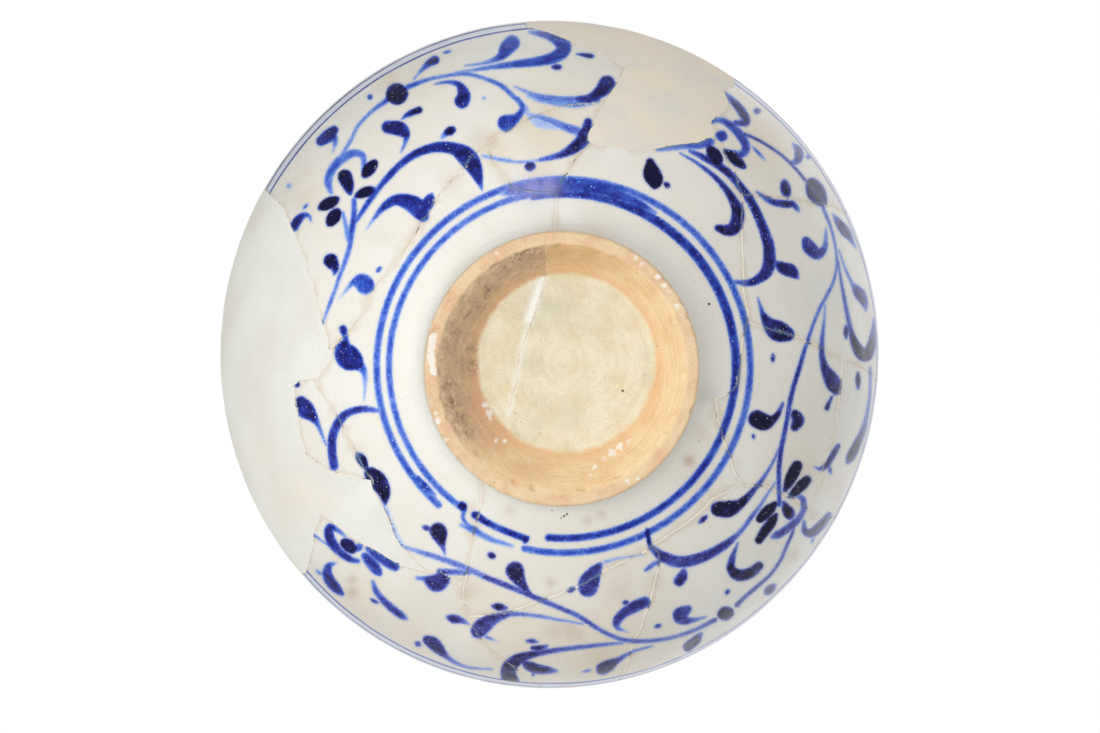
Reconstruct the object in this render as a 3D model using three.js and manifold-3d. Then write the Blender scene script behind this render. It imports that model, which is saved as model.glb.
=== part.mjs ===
// A small footed bowl of white glazed ceramic, mended from twelve sherds and two plaster fills.
//
// The bowl was thrown in one piece and then broke. So the pieces are cut out of one thrown body
// along the lines of the breaks, and each break face runs through the wall towards the bowl's middle.
// The bowl stands on its foot ring, with the mouth up. +Z is up, the origin is under the middle
// of the foot, and all sizes are in millimetres.

import * as THREE from 'three';
import { mergeVertices } from 'three/addons/utils/BufferGeometryUtils.js';
import Module from 'manifold-3d';

// Driving dimensions of the thrown body
const bowlHeight = 50;
const mouthAcrossX = 92.4;
const mouthAcrossY = 93.8;
const lipThickness = 2.6;
const wallUprightRise = 6;
const wallUndersideRise = 2.5;
const floorRise = 8.4;
const footAcross = 35.7;
const footTopAcross = 36.6;
const footRingWidth = 2.1;
const footEdgeRound = 0.35;
const footFilletWidth = 1.7;
const recessFloorAcross = 24.4;
const recessDepth = 4;

// Driving dimensions of the breaks
const joinGap = 0.3;
const breakCentreRise = 15;
const cutterMargin = 1;
const rimOvershoot = 3;

// Fineness of the revolved body
const turnSteps = 64;
const outerWallSteps = 11;
const innerWallSteps = 10;
const lipSteps = 6;
const footFilletSteps = 4;

const mouthRadius = (mouthAcrossX + mouthAcrossY) / 4;
const footRadius = footAcross / 2;
const footTopRadius = footTopAcross / 2;
const ringInnerRadius = footRadius - footRingWidth;
const recessFloorRadius = recessFloorAcross / 2;
const lipRadius = lipThickness / 2;
const breakCentreHeight = bowlHeight + breakCentreRise;

// The lines of the breaks were traced on a view of the bowl from straight below, in pixels of
// that view: right is +X and down is +Y. These say how the view maps on the bowl.
const viewMouthCentre = new THREE.Vector2(549.3, 354.2);
const viewFootCentre = new THREE.Vector2(561.9, 369);
const viewMouthRadius = 331.2;
const viewFootMagnification = 1.084;
const tracePasses = 60;
const traceRimShare = 0.998;

// Places where three or more joins meet, in pixels of the view
const footCrackTop = [557, 192];
const bandCorner = [514, 188];
const leftCrown = [486, 146];
const tanSherdTop = [607, 101];
const fillInnerCorner = [593, 144];
const fillRightCorner = [712, 137];
const rightForkTop = [743, 195];
const rightForkMiddle = [747, 322];
const rightEdgeTop = [842, 358];
const rightBend = [716, 398];
const lowerRightFork = [752, 486];
const rightEdgeFoot = [808, 509];
const bottomFork = [651, 546];
const bottomLeftFork = [468, 617];
const footCrackFoot = [468, 570];
const leftFillNose = [332, 353];
const smallSherdTop = [317, 378];
const smallSherdFoot = [371, 480];
const leftFillTip = [424, 571];

// Places where a join runs out over the lip
const rimAtUpperFillLeft = [527, 30];
const rimAtUpperFillRight = [738, 88];
const rimAtUpperRight = [842, 211];
const rimAtRight = [873, 378];
const rimAtLowerRight = [835, 514];
const rimAtBottomRight = [622, 676];
const rimAtBottomLeft = [540, 682];
const rimAtLeftFillFoot = [308, 572];
const rimAtLeftFillTop = [270, 193];

// Joins between two pieces, each traced from one meeting place to the next
const joins = {
  foot_crack: [footCrackTop, [556, 212], [552, 231], [546, 240], [547, 262], [531, 324], [519, 352],
    [515, 388], [506, 426], [499, 442], [478, 464], [482, 486], [480, 510], [472, 542], footCrackFoot],
  foot_crack_end: [footCrackFoot, [463, 590], [464, 604], bottomLeftFork],
  tan_sherd_rim_side: [tanSherdTop, [588, 103], [552, 109], [519, 123], [497, 136], leftCrown],
  tan_sherd_left_side: [leftCrown, [494, 163], [503, 175], bandCorner],
  tan_sherd_band_side: [bandCorner, [535, 191], footCrackTop],
  tan_sherd_right_side: [footCrackTop, [564, 177], [576, 159], fillInnerCorner],
  tan_sherd_fill_side: [tanSherdTop, [595, 119], [587, 135], fillInnerCorner],
  upper_left_break: [leftCrown, [466, 161], [461, 174], [441, 190], [429, 211], [405, 249], [378, 283],
    [365, 303], [363, 315], [348, 333], leftFillNose],
  upper_fill_left_edge: [rimAtUpperFillLeft, [548, 33], [583, 46], [608, 57], [625, 68],
    [612, 90], tanSherdTop],
  upper_fill_base_edge: [fillInnerCorner, [620, 147], [657, 149], [698, 143], fillRightCorner],
  upper_fill_right_edge: [fillRightCorner, [714, 129], [714, 119], [726, 109], [725, 94],
    rimAtUpperFillRight],
  left_fill_top_edge: [rimAtLeftFillTop, [284, 209], [295, 235], [306, 260], [315, 295],
    [324, 329], leftFillNose],
  left_fill_nose_edge: [leftFillNose, [330, 363], smallSherdTop],
  left_fill_small_edge: [smallSherdTop, [300, 380], [294, 388], [298, 420], [309, 458],
    [329, 471], smallSherdFoot],
  left_fill_base_edge: [smallSherdFoot, [379, 502], [390, 522], [396, 538], [410, 557], leftFillTip],
  left_fill_lower_edge: [leftFillTip, [399, 565], [362, 544], [345, 533], [321, 514], [314, 533],
    [310, 557], rimAtLeftFillFoot],
  small_sherd_join: [smallSherdTop, [322, 394], [339, 419], [351, 441], smallSherdFoot],
  fill_tip_join: [leftFillTip, [440, 572], [451, 578], footCrackFoot],
  upper_right_break: [fillRightCorner, [723, 149], [735, 172], rightForkTop],
  upper_right_branch: [rightForkTop, [775, 198], [797, 199], [830, 205], rimAtUpperRight],
  right_break: [rightForkTop, [742, 235], [744, 292], rightForkMiddle],
  right_branch: [rightForkMiddle, [780, 332], [808, 342], rightEdgeTop],
  right_branch_end: [rightEdgeTop, [860, 366], rimAtRight],
  right_bend_break: [rightForkMiddle, [740, 350], [739, 381], [729, 393], rightBend],
  lower_right_break: [rightBend, [719, 424], [732, 459], [739, 480], lowerRightFork],
  lower_right_branch: [lowerRightFork, [766, 486], [792, 497], rightEdgeFoot],
  lower_right_end: [rightEdgeFoot, [817, 517], rimAtLowerRight],
  right_edge_break: [rightEdgeTop, [841, 388], [835, 425], [826, 460], [818, 488], rightEdgeFoot],
  bottom_break: [lowerRightFork, [733, 488], [711, 500], [702, 511], [675, 531], bottomFork],
  bottom_left_break: [bottomFork, [625, 561], [590, 580], [565, 592], [541, 600], [512, 611],
    bottomLeftFork],
  bottom_branch: [bottomFork, [659, 557], [655, 585], [650, 609], [633, 648], rimAtBottomRight],
  bottom_left_branch: [bottomLeftFork, [481, 639], [508, 661], [526, 677], rimAtBottomLeft],
};

// Each piece: its material and the joins round it, in order. A join that the walk round the piece
// follows from its last traced point to its first has a minus sign.
const pieces = {
  upper_left_sherd: ['glaze', 'upper_fill_left_edge', 'tan_sherd_rim_side', 'upper_left_break',
    '-left_fill_top_edge'],
  upper_middle_sherd: ['glaze', 'tan_sherd_fill_side', '-tan_sherd_right_side',
    '-tan_sherd_band_side', '-tan_sherd_left_side', '-tan_sherd_rim_side'],
  base_left_sherd: ['glaze', 'tan_sherd_left_side', 'tan_sherd_band_side', 'foot_crack',
    '-fill_tip_join', '-left_fill_base_edge', '-small_sherd_join', '-left_fill_nose_edge',
    '-upper_left_break'],
  small_left_sherd: ['glaze', 'small_sherd_join', '-left_fill_small_edge'],
  lower_left_sherd: ['glaze', '-left_fill_lower_edge', 'fill_tip_join', 'foot_crack_end',
    'bottom_left_branch'],
  bottom_sherd: ['glaze', '-bottom_left_branch', '-bottom_left_break', 'bottom_branch'],
  base_right_sherd: ['glaze', 'tan_sherd_right_side', 'upper_fill_base_edge', 'upper_right_break',
    'right_break', 'right_bend_break', 'lower_right_break', 'bottom_break', 'bottom_left_break',
    '-foot_crack_end', '-foot_crack'],
  upper_right_sherd: ['glaze', '-upper_fill_right_edge', 'upper_right_break', 'upper_right_branch'],
  right_upper_sherd: ['glaze', '-upper_right_branch', 'right_break', 'right_branch',
    'right_branch_end'],
  right_middle_sherd: ['glaze', 'right_branch', 'right_edge_break', '-lower_right_branch',
    '-lower_right_break', '-right_bend_break'],
  right_edge_sherd: ['glaze', '-right_branch_end', 'right_edge_break', 'lower_right_end'],
  lower_right_sherd: ['glaze', '-lower_right_end', '-lower_right_branch', 'bottom_break',
    'bottom_branch'],
  plaster_fill_left: ['plaster', 'left_fill_top_edge', 'left_fill_nose_edge',
    'left_fill_small_edge', 'left_fill_base_edge', 'left_fill_lower_edge'],
  plaster_fill_upper_right: ['plaster', 'upper_fill_left_edge', 'tan_sherd_fill_side',
    'upper_fill_base_edge', 'upper_fill_right_edge'],
};

const materials = {
  glaze: new THREE.MeshStandardMaterial({ color: 0xe9e6db, roughness: 0.25, metalness: 0 }),
  plaster: new THREE.MeshStandardMaterial({ color: 0xd8d4c6, roughness: 0.85, metalness: 0 }),
};

// The wall is part of an ellipse. This gives its half width for a depth under the centre line.
const wallCentreHeight = bowlHeight + wallUprightRise;
const outerDepth = wallCentreHeight - wallUndersideRise;
const innerDepth = wallCentreHeight - floorRise;
const lipShare = Math.sqrt(1 - ((wallUprightRise + lipRadius) / outerDepth) ** 2);
const outerHalfWidth = mouthRadius / lipShare;
const innerShare = Math.sqrt(1 - ((wallUprightRise + lipRadius) / innerDepth) ** 2);
const innerHalfWidth = (mouthRadius - lipThickness) / innerShare;

function ellipseArc(halfWidth, depth, fromRadius, toRadius, steps) {
  const from = Math.acos(fromRadius / halfWidth);
  const to = Math.acos(toRadius / halfWidth);
  return Array.from({ length: steps + 1 }, (_, step) => {
    const angle = from + ((to - from) * step) / steps;
    return new THREE.Vector2(halfWidth * Math.cos(angle), wallCentreHeight - depth * Math.sin(angle));
  });
}

// The underside, from the axis out: recess floor, sloping recess wall, bare ring, foot and wall
function undersideOutline() {
  const wallStart = footTopRadius + footFilletWidth;
  const wall = ellipseArc(outerHalfWidth, outerDepth, wallStart, mouthRadius, outerWallSteps);
  const wallOverFoot = ellipseArc(outerHalfWidth, outerDepth, footTopRadius, wallStart, 1)[0].y;
  const fillet = new THREE.QuadraticBezierCurve(
    new THREE.Vector2(footTopRadius, wallOverFoot - footFilletWidth),
    new THREE.Vector2(footTopRadius, wallOverFoot),
    wall[0],
  );
  return [
    new THREE.Vector2(0, recessDepth),
    new THREE.Vector2(recessFloorRadius, recessDepth),
    new THREE.Vector2(ringInnerRadius - footEdgeRound, footEdgeRound),
    new THREE.Vector2(ringInnerRadius, 0),
    new THREE.Vector2(footRadius - footEdgeRound, 0),
    new THREE.Vector2(footRadius, footEdgeRound),
    ...fillet.getPoints(footFilletSteps),
    ...wall.slice(1),
  ];
}

// The rounded lip, from the outer wall over to the inner wall
function lipOutline() {
  return Array.from({ length: lipSteps - 1 }, (_, step) => {
    const angle = (Math.PI * (step + 1)) / lipSteps;
    const across = mouthRadius - lipRadius + lipRadius * Math.cos(angle);
    return new THREE.Vector2(across, bowlHeight - lipRadius + lipRadius * Math.sin(angle));
  });
}

function solidOf(geometry) {
  geometry.deleteAttribute('normal');
  geometry.deleteAttribute('uv');
  const merged = mergeVertices(geometry);
  const corners = merged.index.array;
  const kept = [];
  for (let at = 0; at < corners.length; at += 3) {
    const [a, b, c] = corners.slice(at, at + 3);
    if (a !== b && b !== c && c !== a) {
      kept.push(a, b, c);
    }
  }
  return new wasm.Manifold(new wasm.Mesh({
    numProp: 3,
    vertProperties: merged.attributes.position.array,
    triVerts: new Uint32Array(kept),
  }));
}

// The mouth is a little wider along Y than along X, and the foot is round
function stretchAt(height) {
  const share = height / bowlHeight;
  const roundAcross = mouthRadius * 2;
  return new THREE.Vector2(
    1 + (mouthAcrossX / roundAcross - 1) * share,
    1 + (mouthAcrossY / roundAcross - 1) * share,
  );
}

function thrownBody() {
  const innerWall = ellipseArc(innerHalfWidth, innerDepth, mouthRadius - lipThickness, 0, innerWallSteps);
  const outline = [...undersideOutline(), ...lipOutline(), ...innerWall];
  const body = new THREE.LatheGeometry(outline, turnSteps);
  body.rotateX(Math.PI / 2);
  const position = body.attributes.position;
  for (let at = 0; at < position.count; at += 1) {
    const stretch = stretchAt(position.getZ(at));
    position.setXY(at, position.getX(at) * stretch.x, position.getY(at) * stretch.y);
  }
  return solidOf(body);
}

// The height of the underside at a distance from the axis
function undersideHeight(outline, radius) {
  const next = outline.findIndex((point) => point.x > radius);
  if (next < 0) {
    return outline[outline.length - 1].y;
  }
  const [inner, outer] = [outline[next - 1], outline[next]];
  return inner.y + ((outer.y - inner.y) * (radius - inner.x)) / (outer.x - inner.x);
}

// Takes a traced point to the bowl's outer face, and gives the way to it from the break centre,
// per millimetre of fall
function wayTo(traced, outline) {
  const point = new THREE.Vector2(...traced);
  const place = new THREE.Vector2();
  let height = 0;
  for (let pass = 0; pass < tracePasses; pass += 1) {
    const rise = height / bowlHeight;
    const centre = viewFootCentre.clone().lerp(viewMouthCentre, rise);
    const magnification = viewFootMagnification + (1 - viewFootMagnification) * rise;
    const millimetres = mouthRadius / (viewMouthRadius * magnification);
    const stretch = stretchAt(height);
    place.copy(point).sub(centre).multiplyScalar(millimetres).divide(stretch);
    place.clampLength(0, mouthRadius * traceRimShare);
    height = undersideHeight(outline, place.length());
    place.multiply(stretch);
  }
  const fall = breakCentreHeight - height;
  return new THREE.Vector3(place.x / fall, place.y / fall, -1);
}

// All the ways round one piece. At the mouth, the outline swings out past the lip.
function waysRound(names, outline) {
  const ways = [];
  names.forEach((name, order) => {
    const back = name.startsWith('-');
    const traced = joins[name.replace('-', '')].map((point) => wayTo(point, outline));
    const walked = back ? traced.reverse() : traced;
    const previous = ways[ways.length - 1];
    if (order > 0 && previous.distanceTo(walked[0]) > joinGap / bowlHeight) {
      ways.push(pastTheLip(previous), pastTheLip(walked[0]));
    } else if (order > 0) {
      ways.pop();
    }
    ways.push(...walked);
  });
  if (ways[0].distanceTo(ways[ways.length - 1]) > joinGap / bowlHeight) {
    ways.push(pastTheLip(ways[ways.length - 1]), pastTheLip(ways[0]));
  } else {
    ways.pop();
  }
  return ways;
}

function pastTheLip(way) {
  return new THREE.Vector3(way.x * rimOvershoot, way.y * rimOvershoot, way.z);
}

// A wedge from over the mouth to under the foot whose sides run along the given ways,
// each side moved in by half of the gap between two pieces
function breakWedge(ways) {
  const flat = ways.map((way) => new THREE.Vector2(way.x, way.y));
  const turned = THREE.ShapeUtils.isClockWise(flat) ? ways.slice().reverse() : ways;
  const count = turned.length;
  const sides = turned.map((way, at) => {
    const next = turned[(at + 1) % count];
    return new THREE.Vector3().crossVectors(next, way).normalize();
  });
  const edges = turned.map((way, at) => {
    const [before, after] = [sides[(at + count - 1) % count], sides[at]];
    const shift = before.clone().add(after).multiplyScalar((joinGap / 2) / (1 + before.dot(after)));
    return shift.addScaledVector(way, shift.z);
  });
  const levels = [breakCentreRise - cutterMargin, breakCentreHeight + cutterMargin];
  const corners = levels.flatMap((fall) => turned.map((way, at) => {
    const corner = edges[at].clone().addScaledVector(way, fall);
    return corner.setZ(breakCentreHeight - fall);
  }));
  const outline = turned.map((way) => new THREE.Vector2(way.x, way.y));
  const cap = THREE.ShapeUtils.triangulateShape(outline, []);
  const faces = cap.flatMap(([a, b, c]) => [a, b, c, count + c, count + b, count + a]);
  for (let at = 0; at < count; at += 1) {
    const next = (at + 1) % count;
    faces.push(at, count + at, count + next, at, count + next, next);
  }
  const wedge = new THREE.BufferGeometry().setFromPoints(corners);
  wedge.setIndex(faces);
  return solidOf(wedge);
}

function meshOf(solid, name, material) {
  const { vertProperties, triVerts } = solid.getMesh();
  const geometry = new THREE.BufferGeometry();
  geometry.setAttribute('position', new THREE.BufferAttribute(vertProperties, 3));
  geometry.setIndex(new THREE.BufferAttribute(triVerts, 1));
  geometry.computeVertexNormals();
  const mesh = new THREE.Mesh(geometry, materials[material]);
  mesh.name = name;
  return mesh;
}

const wasm = await Module();
wasm.setup();

const bowl = new THREE.Group();
const body = thrownBody();
const underside = undersideOutline();
for (const [name, [material, ...joinNames]] of Object.entries(pieces)) {
  const wedge = breakWedge(waysRound(joinNames, underside));
  bowl.add(meshOf(body.intersect(wedge), name, material));
}

export default bowl;
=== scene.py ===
import math

import bpy
import numpy as np
from mathutils import Matrix, Vector
from mathutils.geometry import delaunay_2d_cdt
from mathutils.kdtree import KDTree


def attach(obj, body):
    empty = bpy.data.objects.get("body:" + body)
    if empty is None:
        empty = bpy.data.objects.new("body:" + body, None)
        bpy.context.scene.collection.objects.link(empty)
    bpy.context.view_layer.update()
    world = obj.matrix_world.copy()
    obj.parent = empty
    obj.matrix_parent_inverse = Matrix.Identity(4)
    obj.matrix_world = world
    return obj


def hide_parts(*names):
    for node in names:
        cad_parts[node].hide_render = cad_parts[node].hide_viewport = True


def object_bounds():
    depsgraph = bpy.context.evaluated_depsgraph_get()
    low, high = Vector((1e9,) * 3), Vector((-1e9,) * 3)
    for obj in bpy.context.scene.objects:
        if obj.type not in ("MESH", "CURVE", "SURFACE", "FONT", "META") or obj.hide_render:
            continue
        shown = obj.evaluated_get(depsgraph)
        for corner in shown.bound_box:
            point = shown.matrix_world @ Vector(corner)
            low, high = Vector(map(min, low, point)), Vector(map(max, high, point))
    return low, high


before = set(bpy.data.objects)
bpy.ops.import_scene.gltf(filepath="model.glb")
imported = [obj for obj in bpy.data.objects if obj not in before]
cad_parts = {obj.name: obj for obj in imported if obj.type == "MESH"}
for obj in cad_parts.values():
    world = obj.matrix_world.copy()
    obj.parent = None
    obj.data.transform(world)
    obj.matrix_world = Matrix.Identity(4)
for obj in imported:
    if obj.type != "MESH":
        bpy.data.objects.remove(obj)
cad_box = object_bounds()


# The thrown body
# One bowl of white fritware, thrown on a wheel and then turned on its underside to leave a foot
# ring round a recess. It broke later, and every piece below is a part of this one wall, so the
# outline of the wall comes first. Sizes here are in millimetres.
MM = 0.001
box_slack = 0.08
bowl_size = (cad_box[1] - cad_box[0]) / MM - Vector((box_slack, box_slack, 0))
bowl_height = bowl_size.z
mouth_radius = (bowl_size.x + bowl_size.y) / 4
lip_thickness = 2.6
wall_centre_height = bowl_height + 6
wall_underside_rise = 2.5
floor_rise = 8.4
foot_radius = 17.85
foot_top_radius = 18.3
foot_ring_width = 2.1
foot_edge_round = 0.35
foot_fillet = 1.7
recess_depth = 4
recess_floor_radius = 12.2
recess_corner = 1.3
recess_off_centre = np.array([0.75, -0.7])
break_centre_height = bowl_height + 15
lip_radius = lip_thickness / 2
lip_across = mouth_radius - lip_radius
lip_height = bowl_height - lip_radius
ring_inner_radius = foot_radius - foot_ring_width


def ellipse_arc(half_width, depth, from_radius, to_radius, steps):
    turn = np.linspace(math.acos(from_radius / half_width), math.acos(to_radius / half_width), steps)
    return np.column_stack([half_width * np.cos(turn), wall_centre_height - depth * np.sin(turn)])


def rounded(before, corner, after, steps=12):
    """A bend from one point to another that is drawn towards the corner between them."""
    t = np.linspace(0, 1, steps)[:, None]
    before, corner, after = np.array(before), np.array(corner), np.array(after)
    return (1 - t) ** 2 * before + 2 * t * (1 - t) * corner + t**2 * after


def lip_arc(from_turn, to_turn, steps=60):
    turn = np.linspace(from_turn, to_turn, steps)
    return np.column_stack([lip_across + lip_radius * np.cos(turn), lip_height + lip_radius * np.sin(turn)])


def wall_half_width(radius, depth):
    return radius / math.sqrt(1 - ((wall_centre_height - lip_height) / depth) ** 2)


# Seen from the centre of the breaks, over the mouth, the lip turns from outside to inside here
lip_away = math.hypot(lip_across, break_centre_height - lip_height)
lip_turn = math.atan2(lip_across, break_centre_height - lip_height) + math.asin(lip_radius / lip_away)

outer_depth = wall_centre_height - wall_underside_rise
inner_depth = wall_centre_height - floor_rise
outer_half_width = wall_half_width(mouth_radius, outer_depth)
inner_half_width = wall_half_width(mouth_radius - lip_thickness, inner_depth)
outer_wall = ellipse_arc(outer_half_width, outer_depth, foot_top_radius + foot_fillet, mouth_radius, 200)
wall_over_foot = ellipse_arc(outer_half_width, outer_depth, foot_top_radius, foot_top_radius + 1, 2)[0][1]
slope_across = ring_inner_radius - recess_floor_radius
underside = np.vstack([
    [(0, recess_depth)],
    rounded((recess_floor_radius - recess_corner, recess_depth), (recess_floor_radius, recess_depth),
            (recess_floor_radius + slope_across * 0.3, recess_depth * 0.7)),
    rounded((ring_inner_radius - slope_across * 0.2, recess_depth * 0.2), (ring_inner_radius, 0),
            (ring_inner_radius + 0.5, 0)),
    rounded((foot_radius - foot_edge_round, 0), (foot_radius, 0), (foot_radius, foot_edge_round)),
    rounded((foot_top_radius, wall_over_foot - foot_fillet), (foot_top_radius, wall_over_foot),
            outer_wall[0]),
    outer_wall[1:],
    lip_arc(0, lip_turn)[1:],
])
inside = np.vstack([
    lip_arc(lip_turn, math.pi),
    ellipse_arc(inner_half_width, inner_depth, mouth_radius - lip_thickness, 0, 200)[1:],
])[::-1]


def angle_from_break_centre(outline):
    return np.arctan2(outline[:, 0], break_centre_height - outline[:, 1])


# The wall is worked on a flat map: its distance from the middle is the way along the underside,
# and each place on it stands for one point outside and, through the wall, one point inside.
underside_way = np.concatenate([[0], np.cumsum(np.hypot(*np.diff(underside, axis=0).T))])
underside_angle = angle_from_break_centre(underside)
inside_angle = angle_from_break_centre(inside)
rim_way = underside_way[-1]


def placed(flat, radius, height):
    """Points of the bowl from their directions on the flat map, with the mouth a little oval."""
    direction = flat / np.maximum(np.hypot(*flat.T), 1e-9)[:, None]
    oval = np.array([bowl_size.x, bowl_size.y]) / (2 * mouth_radius) - 1
    stretch = 1 + oval * (height / lip_height)[:, None]
    return np.column_stack([direction * radius[:, None] * stretch, height])


def outside_of(flat):
    way = np.hypot(*flat.T)
    radius = np.interp(way, underside_way, underside[:, 0])
    height = np.interp(way, underside_way, underside[:, 1])
    points = placed(flat, radius, height)
    in_recess = np.where(radius < ring_inner_radius, height / recess_depth, 0)
    points[:, :2] += recess_off_centre * in_recess[:, None]
    return points


def inside_of(flat):
    angle = np.interp(np.hypot(*flat.T), underside_way, underside_angle)
    radius = np.interp(angle, inside_angle, inside[:, 0])
    height = np.interp(angle, inside_angle, inside[:, 1])
    return placed(flat, radius, height)


# The view
# The photograph looks up at the underside through a long lens, a little off the bowl's axis. The
# painting and the breaks were read off it, so the view is settled before them.
photo_size = (1100, 733)
lens_length = 150
sensor_width = 36
view_distance = 644
view_target = np.array([0, 1.6, bowl_height])
view_lean = (-0.0312, -0.039)
map_spacing = 0.35
least_seen_area = 0.2
fit_passes = 8
fit_nudge = 0.02
fit_pace = 0.7
just_below_rim = 0.999 * rim_way

view_back = np.array([*view_lean, -math.sqrt(1 - view_lean[0] ** 2 - view_lean[1] ** 2)])
view_up = np.array([0, -1, 0]) + view_back * view_back[1]
view_up /= np.linalg.norm(view_up)
view_right = np.cross(view_up, view_back)
view_place = view_target + view_back * view_distance
focal_pixels = lens_length / sensor_width * photo_size[0]


def photo_of(points):
    """Where points of the bowl, in millimetres, show in the photograph, in pixels."""
    offset = points - view_place
    depth = -(offset @ view_back)
    across = photo_size[0] / 2 + focal_pixels * (offset @ view_right) / depth
    down = photo_size[1] / 2 - focal_pixels * (offset @ view_up) / depth
    return np.column_stack([across, down])


def search_tree(places):
    """A tree that finds the nearest of some flat places."""
    tree = KDTree(len(places))
    for index, (x, y) in enumerate(places):
        tree.insert((x, y, 0), index)
    tree.balance()
    return tree


map_steps = np.arange(-rim_way, rim_way, map_spacing)
map_flat = np.stack(np.meshgrid(map_steps, map_steps), -1)
map_photo = photo_of(outside_of(map_flat.reshape(-1, 2))).reshape(map_flat.shape)
map_down, map_across = np.gradient(map_photo, axis=(0, 1))
map_seen = (np.cross(map_across, map_down) > least_seen_area) & (np.hypot(*map_flat.T) < rim_way)
seen_flat = map_flat[map_seen]
seen_tree = search_tree(map_photo[map_seen])


def flat_of(places):
    """Where places of the photograph lie on the flat map: the nearest point that is seen, moved on."""
    places = np.asarray(places, float)
    start = seen_flat[[seen_tree.find((*place, 0))[1] for place in places]]
    flat = start
    for _ in range(fit_passes):
        here = photo_of(outside_of(flat))
        across = (photo_of(outside_of(flat + [fit_nudge, 0])) - here) / fit_nudge
        down = (photo_of(outside_of(flat + [0, fit_nudge])) - here) / fit_nudge
        miss = places - here
        area = np.maximum(np.cross(across, down), 1)
        step = np.column_stack([np.cross(miss, down), np.cross(across, miss)]) / area[:, None]
        flat = start + np.clip(flat + fit_pace * step - start, -map_spacing, map_spacing)
        way = np.hypot(*flat.T)
        flat = flat * np.minimum(1, just_below_rim / np.maximum(way, 1e-9))[:, None]
    return flat


def new_object(name, data):
    made = bpy.data.objects.new(name, data)
    bpy.context.collection.objects.link(made)
    return made


camera_data = bpy.data.cameras.new("view_camera")
camera_data.lens = lens_length
camera_data.sensor_width = sensor_width
camera = new_object("view_camera", camera_data)
view_turn = np.column_stack([view_right, view_up, view_back])
camera_rows = [[*row, place * MM] for row, place in zip(view_turn, view_place)]
camera.matrix_world = Matrix([*camera_rows, [0, 0, 0, 1]])
bpy.context.scene.camera = camera


# The painting
# A scroll of stems, leaves, buds and four flowers, brushed in cobalt on the white body before it
# was glazed, with two rings round the foot and two lines below the lip: a common pattern. A stroke
# has its depth of colour, and a row of places in the photograph with the brush's width, in pixels.
left_scroll = {
    "knot": (1.0, [(393, 95, 19), (401, 93, 19)]),
    "stem_to_bud": (0.66, [(408, 87, 6), (430, 79, 4), (462, 74, 4), (480, 77, 4), (500, 85, 5),
        (512, 95, 5), (520, 103, 5), (522, 110, 6), (516, 118, 9), (506, 123, 17)]),
    "stem_to_flower": (0.52, [(387, 100, 6), (370, 113, 4), (358, 126, 4), (352, 138, 4), (345, 150, 4),
        (340, 158, 4)]),
    "leaf_over_knot": (0.8, [(414, 79, 2), (420, 72, 3), (428, 64, 7), (435, 60, 9)]),
    "dot_below_lines": (0.68, [(443, 53, 3), (451, 51, 3)]),
    "leaf_below_lines": (0.58, [(465, 66, 2), (485, 63, 4), (500, 57, 8), (507, 48, 15), (512, 43, 16)]),
    "great_leaf": (0.6, [(455, 73, 3), (480, 69, 4), (500, 66, 6), (540, 61, 10), (557, 56, 13),
        (564, 47, 15), (556, 38, 13), (545, 34, 9), (530, 32, 4)]),
    "comma": (0.8, [(435, 84, 2), (448, 82, 4), (459, 85, 7), (464, 95, 13), (462, 101, 15)]),
    "faint_dot": (0.36, [(482, 98, 3), (486, 98, 3)]),
    "small_leaf": (0.9, [(402, 119, 2), (409, 114, 6), (419, 110, 7)]),
    "leaf": (0.78, [(388, 127, 13), (400, 129, 15), (406, 135, 8), (405, 143, 4), (401, 152, 2)]),
    "dot_by_stem": (0.62, [(369, 97, 5), (371, 97, 5)]),
    "outer_leaf": (0.78, [(321, 141, 10), (328, 136, 13), (334, 130, 9)]),
    "outer_leaf_tail": (0.6, [(333, 134, 8), (335, 141, 6), (334, 148, 3), (332, 153, 1)]),
    "hooked_leaf": (0.76, [(353, 226, 3), (362, 212, 5), (370, 200, 6), (382, 184, 6), (390, 175, 7),
        (400, 165, 7), (412, 156, 8), (425, 150, 9), (440, 147, 11), (455, 149, 13), (466, 156, 19),
        (473, 165, 17), (478, 177, 10), (482, 190, 2)]),
    "dot_over_hook": (0.92, [(446, 133, 8), (454, 129, 8)]),
    "dot_over_hook_tail": (0.4, [(446, 133, 7), (441, 139, 3)]),
    "lobed_leaf": (0.7, [(366, 230, 1), (375, 217, 4), (385, 206, 8), (396, 200, 11), (408, 202, 16),
        (418, 208, 19), (423, 216, 12)]),
    "lobe": (0.72, [(426, 208, 14), (432, 194, 6)]),
    "faded_stroke": (0.25, [(484, 156, 4), (495, 158, 4), (510, 160, 3)]),
    "bud": (0.95, [(334, 274, 3), (335, 268, 8), (331, 261, 15)]),
    "small_hook": (0.8, [(294, 227, 9), (298, 220, 9), (304, 215, 6), (309, 216, 4), (311, 221, 2)]),
    "small_hook_dot": (0.6, [(303, 209, 3), (308, 204, 3)]),
    "lone_dot": (0.3, [(289, 185, 5), (289, 187, 5)]),
    "pale_leaf": (0.58, [(340, 298, 1), (348, 288, 4), (355, 282, 8), (362, 282, 17), (365, 285, 19)]),
    "pale_leaf_dot": (0.66, [(377, 272, 4), (381, 267, 4)]),
    "hanging_bud": (0.75, [(343, 329, 8), (346, 340, 6), (344, 350, 17), (348, 357, 25), (354, 361, 19)]),
    "hanging_bud_tail": (0.5, [(358, 364, 12), (364, 372, 7), (365, 385, 4), (364, 400, 2)]),
    "leaf_bleed": (0.35, [(528, 96, 4), (545, 100, 8), (575, 104, 8), (598, 101, 5)]),
    "stem_end_wash": (0.3, [(518, 98, 5), (524, 108, 8), (528, 113, 6)]),
}
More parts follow.
